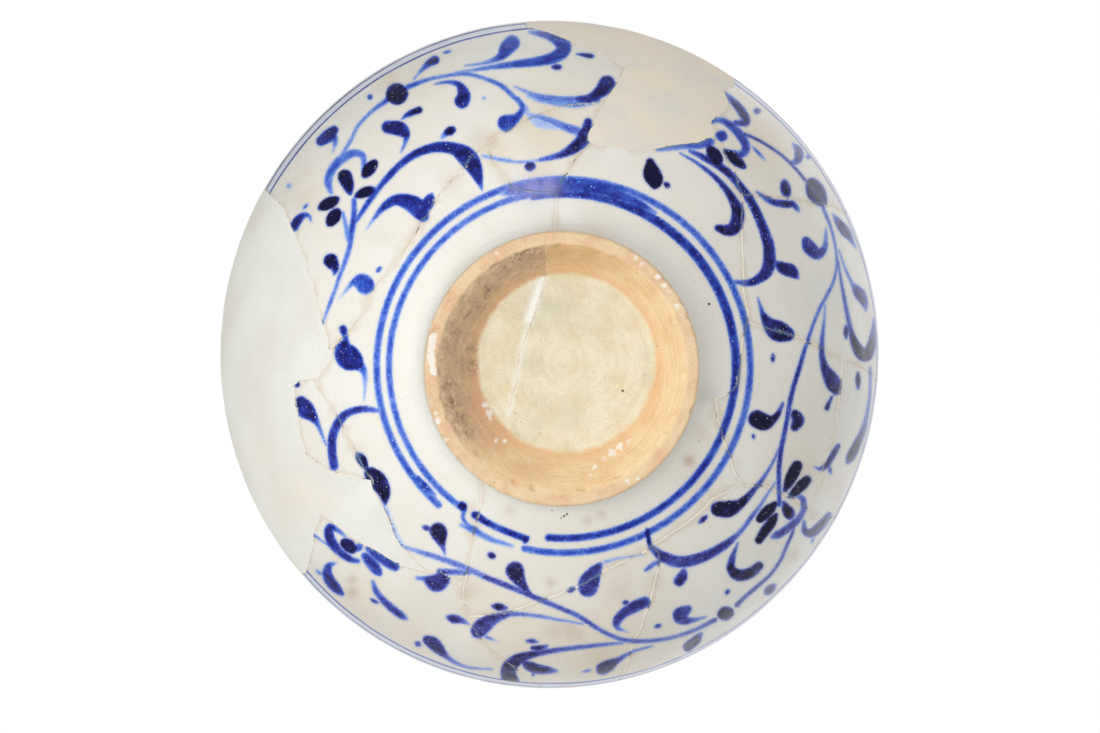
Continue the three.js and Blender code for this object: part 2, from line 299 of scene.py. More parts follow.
left_flower = {
    "hood": (0.48, [(331, 193, 5), (328, 182, 8), (331, 172, 9), (337, 163, 9), (345, 157, 9),
        (354, 153, 8), (362, 155, 7), (364, 162, 6), (362, 171, 3)]),
    "eye": (1.05, [(345, 177, 15), (348, 185, 12), (350, 193, 5)]),
    "top_petal": (1.15, [(364, 176, 10), (375, 162, 11)]),
    "right_petal": (1.15, [(356, 196, 8), (373, 189, 10)]),
    "left_petal": (1.15, [(320, 208, 10), (337, 199, 11)]),
    "bottom_petal": (1.15, [(329, 224, 11), (338, 211, 12)]),
    "stem": (0.6, [(354, 200, 5), (354, 215, 6), (352, 230, 6), (350, 245, 5), (345, 262, 5),
        (340, 275, 4), (335, 290, 4), (330, 303, 4), (322, 325, 2)]),
    "twig": (0.42, [(343, 213, 4), (346, 226, 5), (348, 238, 5), (350, 248, 2)]),
}
upper_scroll = {
    "dot_on_lip": (0.95, [(577, 54, 2), (584, 55, 4), (590, 56, 5), (593, 56, 3)]),
    "small_dot": (0.9, [(552, 67, 5), (561, 67, 6)]),
    "leaf": (0.8, [(578, 99, 6), (590, 98, 9), (600, 92, 13), (607, 84, 17)]),
    "leaf_line": (0.45, [(515, 87, 3), (535, 95, 5), (560, 99, 6), (580, 99, 6)]),
    "faded_leaf": (0.45, [(528, 114, 3), (550, 120, 6), (565, 127, 8), (580, 132, 10)]),
    "cut_leaf": (0.82, [(588, 122, 8), (585, 136, 14), (575, 147, 12), (560, 155, 7), (540, 160, 4)]),
    "cut_leaf_tail": (0.36, [(540, 160, 3), (520, 162, 3), (500, 160, 3), (483, 156, 3)]),
    "dot": (0.85, [(527, 167, 8), (533, 166, 9)]),
    "heart": (1.1, [(650, 162, 8), (651, 168, 13), (652, 174, 18), (655, 180, 16), (655, 187, 5)]),
    "heart_dot": (1.0, [(665, 183, 5), (669, 187, 5)]),
    "inner_leaf": (0.9, [(680, 153, 2), (700, 165, 4), (720, 182, 6), (733, 200, 9), (738, 214, 13),
        (734, 228, 13), (726, 230, 11), (718, 228, 7)]),
    "long_leaf": (0.78, [(690, 151, 4), (705, 158, 7), (722, 168, 8), (735, 180, 8), (750, 200, 9),
        (762, 225, 10), (769, 248, 12), (768, 268, 13), (760, 278, 10), (748, 283, 7), (730, 281, 3)]),
    "fill_edge_leaf": (0.52, [(658, 150, 4), (680, 147, 6), (700, 145, 8), (711, 142, 8)]),
    "dot_on_rim_side": (0.8, [(755, 111, 5), (759, 111, 6)]),
    "comma": (0.76, [(725, 93, 3), (733, 101, 7), (742, 112, 9), (746, 122, 8), (736, 123, 6)]),
    "rim_stroke": (0.85, [(745, 134, 3), (760, 141, 3), (780, 154, 3), (795, 168, 3), (805, 180, 3)]),
    "knot": (0.85, [(812, 184, 13), (816, 192, 19), (821, 200, 13)]),
    "main_stem": (0.72, [(822, 205, 4), (826, 215, 3.5), (831, 228, 3), (835, 245, 3), (837, 262, 3),
        (834, 280, 3), (827, 295, 3.5), (820, 308, 3.5), (813, 325, 3.5), (808, 340, 4), (803, 355, 4.5),
        (800, 366, 5), (794, 385, 5), (790, 402, 5), (787, 420, 5), (784, 435, 5), (781, 450, 5),
        (779, 470, 5), (779, 490, 4.5), (779.5, 505, 4.5)]),
    "sliver": (0.6, [(752, 146, 3), (765, 160, 3)]),
    "double_leaf": (0.8, [(784, 181, 9), (787, 196, 10)]),
    "double_leaf_tail": (0.8, [(757, 192, 3), (770, 201, 6), (784, 204, 8), (792, 204, 7)]),
    "double_leaf_dot": (0.7, [(791, 201, 5), (799, 211, 5)]),
    "hook_on_rim_side": (0.75, [(793, 144, 3), (798, 150, 8), (799, 157, 9), (795, 162, 6),
        (789, 162, 2)]),
    "dot_over_knot": (0.6, [(807, 156, 4), (809, 158, 4)]),
    "u_leaf": (0.7, [(806, 241, 9), (810, 248, 14), (818, 254, 11), (825, 246, 6), (826, 228, 2)]),
    "edge_leaf": (0.82, [(833, 214, 2), (838, 222, 7), (845, 231, 10), (850, 238, 6), (856, 248, 2)]),
    "round_leaf": (0.85, [(775, 262, 4), (783, 268, 12), (791, 271, 13), (798, 278, 3)]),
    "hanging_leaf": (0.75, [(839, 250, 2), (845, 268, 3), (852, 283, 4), (859, 293, 11), (864, 302, 8),
        (866, 311, 2)]),
    "great_hook": (0.95, [(838, 262, 3), (841, 280, 3), (845, 302, 4), (850, 327, 5), (854, 341, 8),
        (860, 352, 12), (866, 355, 13), (871, 346, 9), (873, 332, 5), (874, 318, 2)]),
    "stalk_leaf": (0.85, [(758, 298, 2), (763, 314, 6), (770, 325, 14), (778, 331, 21), (787, 334, 15)]),
    "edge_dot": (0.9, [(846, 326, 3), (846, 332, 5), (846, 338, 3)]),
    "faded_wash": (0.2, [(530, 116, 6), (540, 121, 14), (552, 124, 12), (566, 127, 6)]),
}
upper_right_flower = {
    "hood": (0.62, [(712, 122, 4), (720, 120, 6), (730, 125, 8), (740, 135, 9), (746, 146, 9),
        (742, 154, 8), (730, 152, 5)]),
    "eye": (0.7, [(719, 135, 10), (724, 137, 10)]),
    "right_petal": (1.0, [(725, 151, 9), (744, 167, 10)]),
    "left_petal": (1.05, [(709, 148, 11), (720, 162, 12)]),
}
right_scroll = {
    "long_leaf": (0.82, [(825, 305, 2), (824, 322, 3), (822, 340, 5), (822, 355, 6), (825, 368, 9),
        (831, 379, 15), (834, 385, 15), (836, 393, 5)]),
    "long_leaf_dot": (0.9, [(832, 397, 3), (829, 403, 4), (827, 408, 5)]),
    "lone_dot": (0.85, [(773, 354, 4), (773, 362, 4)]),
    "curled_leaf": (1.0, [(757, 419, 18), (764, 422, 17), (772, 420, 9), (778, 414, 6), (783, 403, 3)]),
    "curled_leaf_dot": (0.85, [(753, 434, 3), (754, 439, 3)]),
    "bud": (0.9, [(795, 414, 9), (798, 420, 13), (795, 427, 9)]),
    "stalk_leaf": (0.95, [(779, 448, 2), (773, 462, 3), (764, 477, 4), (752, 492, 6), (740, 504, 10),
        (728, 509, 17), (718, 509, 15)]),
    "stalk_leaf_dot": (0.95, [(707, 516, 5), (699, 523, 4)]),
    "great_leaf": (0.7, [(777, 480, 2), (768, 493, 3), (760, 506, 4), (750, 519, 5), (740, 532, 5),
        (722, 547, 9), (700, 558, 11), (680, 562, 12), (664, 557, 11), (653, 549, 7), (648, 541, 3)]),
    "back_stroke": (0.6, [(646, 570, 4), (654, 564, 5), (661, 561, 4)]),
    "bud_below": (0.75, [(684, 571, 6), (682, 577, 11), (679, 581, 11)]),
    "v_leaf": (0.85, [(738, 543, 2), (733, 556, 6), (731, 568, 9), (738, 575, 12), (750, 573, 11),
        (759, 566, 9)]),
    "v_leaf_dot": (0.7, [(726, 594, 4), (729, 590, 4)]),
    "cut_leaf_tail": (0.35, [(643, 555, 2), (620, 558, 3), (605, 562, 4)]),
    "cut_leaf": (0.72, [(600, 565, 6), (594, 573, 14), (589, 583, 21), (588, 587, 20)]),
    "cut_leaf_dot": (0.9, [(568, 591, 5), (575, 588, 4)]),
    "s_leaf": (0.72, [(645, 602, 11), (636, 606, 12), (624, 613, 10), (617, 621, 9), (618, 628, 5),
        (628, 632, 1)]),
    "s_leaf_dot": (0.85, [(623, 603, 4), (628, 602, 4)]),
    "crescent": (0.68, [(688, 609, 8), (680, 615, 15), (684, 620, 10), (694, 620, 5), (706, 617, 2)]),
    "crescent_dot": (0.8, [(655, 627, 4), (661, 625, 4)]),
    "low_leaf": (0.9, [(652, 646, 2), (632, 652, 3), (618, 660, 6), (608, 666, 12), (602, 669, 12)]),
    "low_leaf_dot": (0.6, [(582, 672, 2), (591, 670, 3)]),
    "edge_leaf": (0.85, [(701, 634, 4), (696, 640, 9), (688, 647, 10)]),
    "edge_leaf_right": (0.85, [(775, 585, 6), (766, 593, 9)]),
    "comma": (0.8, [(804, 521, 3), (805, 531, 7), (812, 533, 9), (822, 524, 9), (829, 515, 6)]),
    "comma_dot": (0.5, [(811, 543, 3), (814, 538, 3)]),
    "y_leaf": (0.85, [(815, 467, 2), (820, 469, 4), (826, 466, 6), (830, 460, 6), (834, 453, 6),
        (838, 446, 5)]),
    "y_leaf_lobe": (0.7, [(829, 467, 4), (831, 474, 3)]),
    "edge_dot": (1.1, [(858, 373, 3), (858, 380, 5), (858, 388, 3)]),
    "edge_stem": (0.9, [(870, 368, 3), (870, 392, 3), (867, 414, 4), (863, 430, 6), (857, 444, 8),
        (851, 456, 9), (848, 462, 5)]),
}
lower_right_flower = {
    "top_petal": (1.15, [(785, 490, 5), (789, 482, 10), (793, 474, 12), (797, 466, 11)]),
    "second_petal": (1.15, [(790, 496, 5), (796, 491, 9), (802, 485, 11), (807, 480, 9)]),
    "hood": (0.68, [(797, 496, 4), (802, 498, 6), (804, 504, 6), (803, 511, 6), (799, 518, 7),
        (792, 525, 8), (784, 531, 8), (777, 535, 8), (772, 537, 4)]),
    "eye": (0.9, [(784, 503, 5), (786, 508, 9), (789, 513, 12), (790, 516, 8)]),
    "left_petal": (1.15, [(775, 504, 6), (769, 510, 11), (763, 516, 11), (760, 519, 8)]),
    "low_petal": (1.15, [(776, 515, 5), (771, 523, 10), (765, 531, 10), (759, 540, 8)]),
    "stem": (0.85, [(794, 526, 3), (792, 534, 3.5), (788, 543, 3.5), (785, 550, 3.5), (780, 561, 3.5),
        (770, 575, 3.5), (753, 590, 4), (745, 597, 4), (737, 605, 5)]),
}
lower_scroll = {
    "nose_leaf": (0.76, [(301, 402, 12), (305, 409, 18), (311, 415, 12), (318, 425, 5), (326, 445, 2)]),
    "nose_dot": (0.9, [(297, 383, 5), (297, 386, 5)]),
    "arch": (0.7, [(380, 411, 4), (365, 409, 7), (350, 412, 8), (340, 420, 9), (333, 435, 9),
        (332, 450, 9), (334, 466, 9)]),
    "bud_dot": (1.0, [(359, 456, 7), (362, 460, 10), (367, 469, 4)]),
    "bud": (0.95, [(371, 474, 14), (378, 481, 18), (384, 492, 13), (385, 505, 3)]),
    "small_bud": (0.95, [(445, 554, 2), (442, 544, 7), (439, 533, 17), (438, 531, 17)]),
    "small_bud_dot": (0.85, [(423, 527, 5), (430, 529, 5)]),
    "main_stem": (0.5, [(402, 546, 3), (420, 552, 5), (445, 560, 6), (468, 569, 6), (485, 577, 6)]),
    "main_stem_on": (0.72, [(485, 577, 5.5), (500, 583, 6), (520, 591, 5.5), (541, 600, 5.5),
        (560, 608, 5), (580, 617, 5), (600, 630, 4.5), (620, 639, 4.5), (634, 641, 4.5), (650, 641, 4.5),
        (670, 638, 4), (690, 632, 4), (705, 625, 4.5), (715, 620, 5)]),
    "knot": (0.9, [(721, 615, 12), (730, 612, 13)]),
    "leaf_band": (0.65, [(470, 573, 4), (455, 572, 6), (440, 572, 7)]),
    "leaf_bud": (0.72, [(442, 580, 16), (436, 583, 18), (425, 579, 6), (417, 578, 4)]),
    "dot": (0.95, [(489, 554, 6), (494, 557, 6)]),
    "second_bud": (0.85, [(532, 596, 3), (524, 587, 8), (518, 578, 14), (515, 571, 19)]),
    "oval": (0.95, [(493, 606, 4), (499, 607, 8), (506, 608, 4)]),
    "leaning_oval": (0.8, [(448, 617, 5), (454, 619, 9), (460, 620, 7), (469, 624, 2)]),
    "leaf": (0.72, [(583, 624, 2), (560, 620, 3), (538, 616, 4), (515, 614, 5), (502, 616, 8),
        (492, 620, 12), (483, 626, 17), (478, 631, 15)]),
    "leaf_tail": (0.5, [(484, 636, 4), (498, 642, 1)]),
    "flat_dot": (0.85, [(527, 641, 3), (532, 641, 5), (538, 642, 2)]),
    "second_flat_dot": (0.85, [(533, 648, 5), (540, 648, 6), (547, 646, 3)]),
    "great_hook": (0.85, [(622, 643, 3), (600, 645, 4), (565, 649, 5), (545, 652, 6), (530, 655, 8),
        (517, 660, 12), (509, 668, 15), (509, 677, 16), (513, 683, 14)]),
    "hook_leaf": (0.8, [(523, 662, 5), (529, 666, 10), (538, 669, 10), (547, 670, 8), (557, 671, 3)]),
    "hook_leaf_drop": (0.7, [(532, 673, 3), (534, 676, 3)]),
    "rim_leaf": (0.8, [(427, 640, 9), (433, 643, 13), (439, 649, 11), (446, 656, 6), (456, 663, 4),
        (471, 668, 3), (492, 669, 2)]),
    "rim_leaf_dot": (0.7, [(416, 643, 5), (420, 645, 5)]),
    "oblique_leaf": (0.72, [(373, 582, 4), (376, 591, 6), (384, 601, 7), (394, 610, 8), (402, 616, 7),
        (407, 619, 3)]),
    "oblique_dot": (0.8, [(371, 599, 2), (374, 601, 4), (378, 603, 2)]),
    "fill_edge_bleed": (0.2, [(386, 508, 5), (390, 522, 7), (396, 535, 6), (403, 545, 4)]),
}
lower_left_flower = {
    "hood": (0.72, [(345, 536, 3), (337, 530, 5), (330, 528, 9), (329, 535, 10), (333, 544, 10),
        (341, 553, 8), (350, 559, 7), (358, 561, 5)]),
    "eye": (0.95, [(345, 543, 10), (349, 546, 13), (352, 549, 10)]),
    "right_petal": (0.65, [(368, 549, 6), (378, 556, 9), (388, 563, 10), (395, 567, 9)]),
    "low_petal": (0.65, [(365, 556, 8), (370, 562, 11), (376, 569, 11), (379, 573, 7)]),
    "twig": (0.55, [(314, 535, 3), (322, 541, 2), (331, 547, 2)]),
    "comma": (0.72, [(336, 563, 2), (329, 566, 7), (327, 573, 10), (330, 581, 11), (336, 588, 10),
        (342, 594, 5)]),
    "sliver": (0.5, [(316, 570, 3), (322, 575, 3)]),
    "eye_end": (0.65, [(356, 549, 8), (361, 546, 6)]),
}
ring_centre = (563.5, 366)
outer_ring_radius = 186.8
inner_ring_radius = 172.3


def ring_stroke(radius, from_degrees, to_degrees, width, swell=0, middle=0):
    """Part of a painted ring, swelling towards one place, in pixels. Degrees run from right to down."""
    turns = np.radians(np.arange(from_degrees, to_degrees + 1, 5))
    bulge = np.clip(np.cos(turns - math.radians(middle)), 0, 1) ** 3
    across = ring_centre[0] + radius * np.cos(turns)
    down = ring_centre[1] + radius * np.sin(turns)
    return [*zip(across, down, width + swell * bulge)]


painted_rings = {
    "outer_ring": (0.52, ring_stroke(outer_ring_radius, -228, 105, 7)),
    "outer_ring_piece": (0.45, [(461, 525, 4), (475, 531, 7), (490, 539, 6), (512, 546, 4)]),
    "inner_ring_left": (0.5, ring_stroke(inner_ring_radius + 2.2, -235, -100, 6.5)),
    "inner_ring_right": (0.66, ring_stroke(inner_ring_radius, -100, 95, 7.5, swell=2.5, middle=-40)),
    "inner_ring_piece": (0.75, [(475, 515, 8), (490, 524, 7), (508, 532, 7), (524, 538, 7)]),
    "inner_ring_end": (0.9, [(461, 504, 8), (464, 509, 8)]),
    "inner_ring_piece_end": (0.85, [(528, 537, 6), (524, 543, 4)]),
    "band_fill": (0.6, [(501, 195, 2), (512, 191, 9), (530, 188, 13), (550, 186, 13), (575, 186, 13),
        (600, 189, 13), (622, 196, 11), (640, 204, 8), (656, 213, 3)]),
    "between_stroke": (0.7, [(418, 478, 5), (427, 488, 6), (435, 495, 3)]),
    "drip": (0.6, [(464, 511, 5), (463, 518, 4), (468, 525, 4), (476, 529, 4)]),
    "second_drip": (0.9, [(647, 530, 4), (649, 541, 5), (650, 546, 4)]),
}
stroke_step = 2
least_width = 0.8
dab_shape = [(0, 0.5), (0.22, 0.95), (0.5, 1.15), (0.78, 0.95), (1, 0.5)]


def brushed(points):
    """A smooth line through a stroke's places, as rows of across, down and width. Two places make a
    dab, which is full in the middle."""
    points = np.array(points, float)
    if len(points) == 2:
        start, end = points
        points = np.array([(start + at * (end - start)) * (1, 1, wide) for at, wide in dab_shape])
    ends = np.vstack([2 * points[0] - points[1], points, 2 * points[-1] - points[-2]])
    parts = []
    for a, b, c, d in zip(ends, ends[1:], ends[2:], ends[3:]):
        count = max(1, round(np.hypot(*(c - b)[:2]) / stroke_step))
        t = np.arange(count)[:, None] / count
        parts.append(b + 0.5 * t * (c - a + t * (2 * a - 5 * b + 4 * c - d + t * (3 * b - a - 3 * c + d))))
    line = np.vstack([*parts, points[-1:]])
    line[:, 2] = np.maximum(line[:, 2], least_width)
    return line


# The tint of each motif: the further below nought, the duller and more purple its blue
painting = []
for motif, tint in [
    (painted_rings, 0), (left_scroll, 0), (left_flower, 0), (upper_scroll, -0.15),
    (upper_right_flower, -0.1), (right_scroll, -0.3), (lower_right_flower, -0.35),
    (lower_scroll, -0.4), (lower_left_flower, -0.2),
]:
    painting += [(depth, tint, brushed(points)) for depth, points in motif.values()]

# Two lines, and a pale band between them. Each has its height and width, its mean depth of colour,
# and how much deeper it is on its dark side. The scroll ends below them.
lip_lines = ((46.3, 1.5, 0.52, 0.3), (44.2, 1.5, 0.07, 0.03), (42.1, 1.1, 0.6, 0.12))
scroll_top = 42.6
lip_line_dip = 1.2
lip_line_rise = 2
lip_line_dark_side = np.array([-0.8, -0.6])
lip_line_tint = -0.35

pixels_per_mm = 7.12
paint_reach = 1.2
width_at_full_depth = 8
thin_stroke_shade = 0.4
tint_begins_across = 300
tint_full_across = 450
least_tint_share = 0.2


def lip_line_height(height, direction):
    """A lip line's height on each side of the bowl: the brush came down at +Y and went up at +X."""
    dip, rise = np.clip(direction[:, 1], 0, 1), np.clip(direction[:, 0], 0, 1)
    return height - lip_line_dip * dip + lip_line_rise * rise


def paint_on(points, facing):
    """How far each point lies inside a stroke, in millimetres, and the stroke's depth and tint."""
    places = photo_of(points)
    direction = points[:, :2] / mouth_radius
    facing = facing & (points[:, 2] < lip_line_height(scroll_top, direction))
    edge = np.full(len(points), -paint_reach)
    depth = np.zeros(len(points))
    hue = np.zeros(len(points))
    for stroke_depth, tint, line in painting:
        reach = line[:, 2].max() / 2 + paint_reach * pixels_per_mm
        low, high = line[:, :2].min(0) - reach, line[:, :2].max(0) + reach
        near = np.flatnonzero(((places > low) & (places < high)).all(1) & facing)
        if len(near) == 0:
            continue
        best = np.full(len(near), -np.inf)
        width = np.zeros(len(near))
        for start, end in zip(line, line[1:]):
            along = end[:2] - start[:2]
            away = places[near] - start[:2]
            t = np.clip((away @ along) / max(along @ along, 1e-9), 0, 1)
            wide = start[2] + t * (end[2] - start[2])
            inside_by = wide / 2 - np.hypot(*(away - t[:, None] * along).T)
            closer = inside_by > best
            best[closer] = inside_by[closer]
            width[closer] = wide[closer]
        best /= pixels_per_mm
        full = min(line[:, 2].max(), width_at_full_depth)
        shade = stroke_depth * (thin_stroke_shade + (1 - thin_stroke_shade) * np.clip(width / full, 0, 1))
        over = best > edge[near]
        stronger = (best > 0) & (edge[near] > 0)
        depth[near] = np.where(stronger, np.maximum(depth[near], shade), np.where(over, shade, depth[near]))
        tint_share = (places[near[over], 0] - tint_begins_across) / (tint_full_across - tint_begins_across)
        hue[near[over]] = tint * np.clip(tint_share, least_tint_share, 1)
        edge[near[over]] = best[over]
    for line_height, line_width, mean_depth, change in lip_lines:
        inside_by = line_width / 2 - np.abs(points[:, 2] - lip_line_height(line_height, direction))
        over = inside_by > edge
        shade = mean_depth + change * (direction @ lip_line_dark_side)
        edge[over], depth[over], hue[over] = inside_by[over], shade[over], lip_line_tint
    return edge, depth, hue


# The breaks
# The bowl broke into twelve sherds that were found, and lost the two areas that are now plaster.
# Each break is a row of places in the photograph, from one meeting place to the next.
foot_crack_top = (557, 192)
band_corner = (514, 188)
left_crown = (486, 146)
tan_top = (607, 101)
fill_inner_corner = (593, 144)
fill_right_corner = (712, 137)
right_fork_top = (743, 195)
right_fork_middle = (747, 322)
right_edge_top = (842, 358)
right_bend = (716, 398)
lower_right_fork = (752, 486)
right_edge_foot = (808, 509)
bottom_fork = (651, 546)
bottom_left_fork = (468, 617)
foot_crack_foot = (468, 570)
left_fill_nose = (332, 353)
small_sherd_top = (317, 378)
small_sherd_foot = (371, 480)
left_fill_tip = (425, 571)
over_the_lip = None  # Where a break begins or ends at the lip, past what the photograph shows
breaks = {
    "foot_crack": [foot_crack_top, (556, 210), (553, 230), (546, 236), (546, 257), (548, 262), (543, 288),
        (531, 324), (520, 351), (516, 384), (510, 404), (505, 430), (500, 440), (484, 460), (474, 468),
        (482, 486), (481, 503), (479, 512), (474, 531), (471, 545), foot_crack_foot],
    "foot_crack_end": [foot_crack_foot, (466, 580), (463, 592), (465, 605), bottom_left_fork],
    "tan_rim_side": [tan_top, (590, 103), (567, 105), (552, 109), (540, 114), (530, 118), (519, 123),
        (506, 132), (495, 137), left_crown],
    "tan_left_side": [left_crown, (494, 163), (503, 174), (510, 184), band_corner],
    "tan_band_side": [band_corner, (535, 191), foot_crack_top],
    "tan_right_side": [foot_crack_top, (563, 178), (575, 160), (585, 148), fill_inner_corner],
    "tan_fill_side": [tan_top, (602, 108), (596, 119), (592, 127), (588, 133), (587, 141),
        fill_inner_corner],
    "upper_left": [left_crown, (478, 151), (470, 158), (464, 168), (464, 175), (455, 177), (448, 184),
        (442, 190), (436, 198), (430, 210), (420, 224), (409, 243), (399, 258), (386, 273), (378, 283),
        (367, 300), (365, 311), (349, 332), (337, 343), left_fill_nose],
    "upper_fill_left": [over_the_lip, (527, 27), (545, 31), (570, 41), (583, 46), (600, 53), (608, 57),
        (618, 63), (626, 67), (620, 79), (612, 90), tan_top],
    "upper_fill_base": [fill_inner_corner, (600, 145), (620, 147), (632, 149), (657, 149), (670, 146),
        (685, 144), (698, 143), (705, 140), fill_right_corner],
    "upper_fill_right": [fill_right_corner, (715, 131), (711, 126), (712, 120), (718, 116), (723, 113),
        (727, 107), (728, 100), (724, 91), (733, 86), over_the_lip],
    "left_fill_top": [over_the_lip, (267, 191), (284, 208), (295, 235), (305, 258), (313, 285),
        (316, 300), (322, 322), (328, 340), left_fill_nose],
    "left_fill_nose": [left_fill_nose, (330, 362), (324, 369), (318, 376), small_sherd_top],
    "left_fill_small": [small_sherd_top, (300, 380), (294, 386), (295, 402), (298, 415), (299, 430),
        (303, 445), (309, 458), (322, 467), (331, 472), (350, 476), small_sherd_foot],
    "left_fill_base": [small_sherd_foot, (373, 490), (378, 500), (383, 507), (388, 517), (391, 525),
        (395, 537), (402, 547), (410, 557), (420, 567), left_fill_tip],
    "left_fill_lower": [left_fill_tip, (400, 565), (390, 560), (375, 550), (360, 543), (345, 533),
        (330, 519), (321, 514), (314, 532), (313, 545), (311, 555), (308, 565), (306, 573), over_the_lip],
    "small_sherd": [small_sherd_top, (318, 385), (328, 402), (339, 419), (347, 434), (355, 450),
        (361, 463), small_sherd_foot],
    "fill_tip": [left_fill_tip, (440, 572), (449, 578), (462, 577), foot_crack_foot],
    "upper_right": [fill_right_corner, (721, 143), (724, 152), (730, 162), (735, 172), (739, 188),
        right_fork_top],
    "upper_right_branch": [right_fork_top, (757, 195), (775, 198), (797, 199), (813, 203), (830, 205),
        (845, 213), over_the_lip],
    "right": [right_fork_top, (742, 215), (742, 235), (743, 262), (744, 290), (745, 300), (748, 312),
        right_fork_middle],
    "right_branch": [right_fork_middle, (757, 325), (765, 328), (780, 332), (798, 337), (808, 343),
        (818, 346), (830, 352), right_edge_top],
    "right_branch_end": [right_edge_top, (855, 362), (866, 370), (877, 380), over_the_lip],
    "right_bend": [right_fork_middle, (744, 335), (741, 348), (740, 365), (738, 383), (731, 392),
        (722, 396), right_bend],
    "lower_right": [right_bend, (718, 418), (722, 432), (726, 446), (731, 457), (733, 470), (740, 481),
        lower_right_fork],
    "lower_right_branch": [lower_right_fork, (765, 486), (782, 493), (792, 497), (803, 505),
        right_edge_foot],
    "lower_right_end": [right_edge_foot, (812, 515), (826, 518), (837, 516), over_the_lip],
    "right_edge": [right_edge_top, (841, 385), (839, 400), (837, 412), (836, 425), (833, 437), (825, 462),
        (823, 470), (820, 482), (818, 492), (812, 503), right_edge_foot],
    "bottom": [lower_right_fork, (737, 486), (725, 493), (712, 499), (703, 510), (690, 521), (675, 531),
        (660, 541), bottom_fork],
    "bottom_left": [bottom_fork, (645, 552), (635, 556), (620, 563), (605, 571), (590, 580), (575, 588),
        (565, 592), (555, 596), (541, 600), (529, 605), (512, 611), (490, 615), bottom_left_fork],
    "bottom_branch": [bottom_fork, (659, 553), (659, 563), (656, 578), (653, 590), (650, 603), (645, 615),
        (641, 628), (636, 638), (632, 646), (630, 655), (620, 678), over_the_lip],
    "bottom_left_branch": [bottom_left_fork, (480, 638), (485, 644), (493, 652), (503, 660), (512, 666),
        (522, 674), (532, 680), (541, 685), over_the_lip],
}
break_step = 0.3
break_roughness = ((1.6, 0.07), (0.5, 0.03))
ripple_waves = 7
ripple_spread = (0.6, 1.5)
ripple_peak = 3.2


def ripple(points, wavelength, seed):
    """A smooth unevenness of about -1 to 1, the same on each run."""
    chance = np.random.default_rng(seed)
    total = np.zeros(len(points))
    for _ in range(ripple_waves):
        direction = chance.normal(size=points.shape[1])
        length = wavelength * chance.uniform(*ripple_spread)
        direction *= 2 * math.pi / (length * np.linalg.norm(direction))
        total += np.sin(points @ direction + chance.uniform(0, 2 * math.pi))
    return total / ripple_peak


def evenly(line, step):
    """The same line, with points at about the step apart."""
    way = np.concatenate([[0], np.cumsum(np.hypot(*np.diff(line, axis=0).T))])
    count = max(2, round(way[-1] / step) + 1)
    wanted = np.linspace(0, way[-1], count)
    return np.column_stack([np.interp(wanted, way, column) for column in line.T])


def to_the_rim(place):
    return place * (rim_way / np.hypot(*place))


def break_line(places):
    """A break on the flat map, with the fine unevenness of broken ceramic away from its ends."""
    flat = flat_of([place for place in places if place is not over_the_lip])
    if places[0] is over_the_lip:
        flat = np.vstack([to_the_rim(flat[0]), flat])
    if places[-1] is over_the_lip:
        flat = np.vstack([flat, to_the_rim(flat[-1])])
    line = evenly(flat, break_step)
    count = np.arange(len(line))
    ease = np.clip(np.minimum(count, count[::-1]) * break_step, 0, 1)[:, None]
    for seed, (wavelength, size) in enumerate(break_roughness):
        shift = np.column_stack([ripple(line, wavelength, 10 + seed), ripple(line, wavelength, 20 + seed)])
        line = line + shift * size * ease
    return line


break_lines = {name: break_line(places) for name, places in breaks.items()}


def piece_loop(names):
    """The outline of a piece on the flat map, anticlockwise, and which of its points are on the lip."""
    parts = []
    for name in names:
        line = break_lines[name.replace("-", "")]
        parts.append(line[::-1] if name.startswith("-") else line)
    points, on_lip = [], []
    for part, following in zip(parts, parts[1:] + parts[:1]):
        points.append(part[:-1])
        on_lip.append(np.hypot(*part[:-1].T) > rim_way - 1e-6)
        if np.hypot(*(following[0] - part[-1])) > break_step:
            start, end = (math.atan2(*place[::-1]) for place in (part[-1], following[0]))
            turn = (end - start + math.pi) % (2 * math.pi) - math.pi
            turns = start + np.linspace(0, turn, max(2, round(abs(turn) * rim_way / break_step)))[:-1]
            points.append(rim_way * np.column_stack([np.cos(turns), np.sin(turns)]))
            on_lip.append(np.full(len(turns), True))
    loop, on_lip = np.vstack(points), np.concatenate(on_lip)
    following = np.roll(loop, -1, 0)
    if (loop[:, 0] * following[:, 1] - loop[:, 1] * following[:, 0]).sum() < 0:
        loop, on_lip = loop[::-1], on_lip[::-1]
    return loop, on_lip


# The sherds
# Twelve pieces of the wall: white fritware under a clear, slightly green glaze over the painting,
# with the foot ring and the recess left bare. A fine gap parts them, filled with adhesive, and
# small chips broke out along their outer edges.
def way_at_height(height):
    """The way along the underside to a height on the wall."""
    return np.interp(height, underside[30:, 1], underside_way[30:])


def way_at_radius(radius):
    """The way along the underside to a radius in the recess or on the ring."""
    return np.interp(radius, underside[:, 0], underside_way)


def into_wall(points):
    """The directions from points of the underside towards the centre of the breaks."""
    inward = np.array([0, 0, break_centre_height]) - points
    return inward / np.linalg.norm(inward, axis=1)[:, None]


turning_spacing = 1.3
turning_waver = 12
turning_depth = 0.03
clay_grain = ((0.9, 0.025), (2.6, 0.03))
clay_fades = 0.4
glaze_waves = (6, 0.02)
glaze_wave_fades = 3
wear_patches = 2.4
wear_patch_begins = 0.35
wear_reach = 0.5
least_wear = 0.04
more_wear = 0.35
glaze_edge_way = way_at_radius(foot_radius) + 0.25
ring_edges = ((way_at_radius(ring_inner_radius), -1), (way_at_radius(foot_radius), 1))


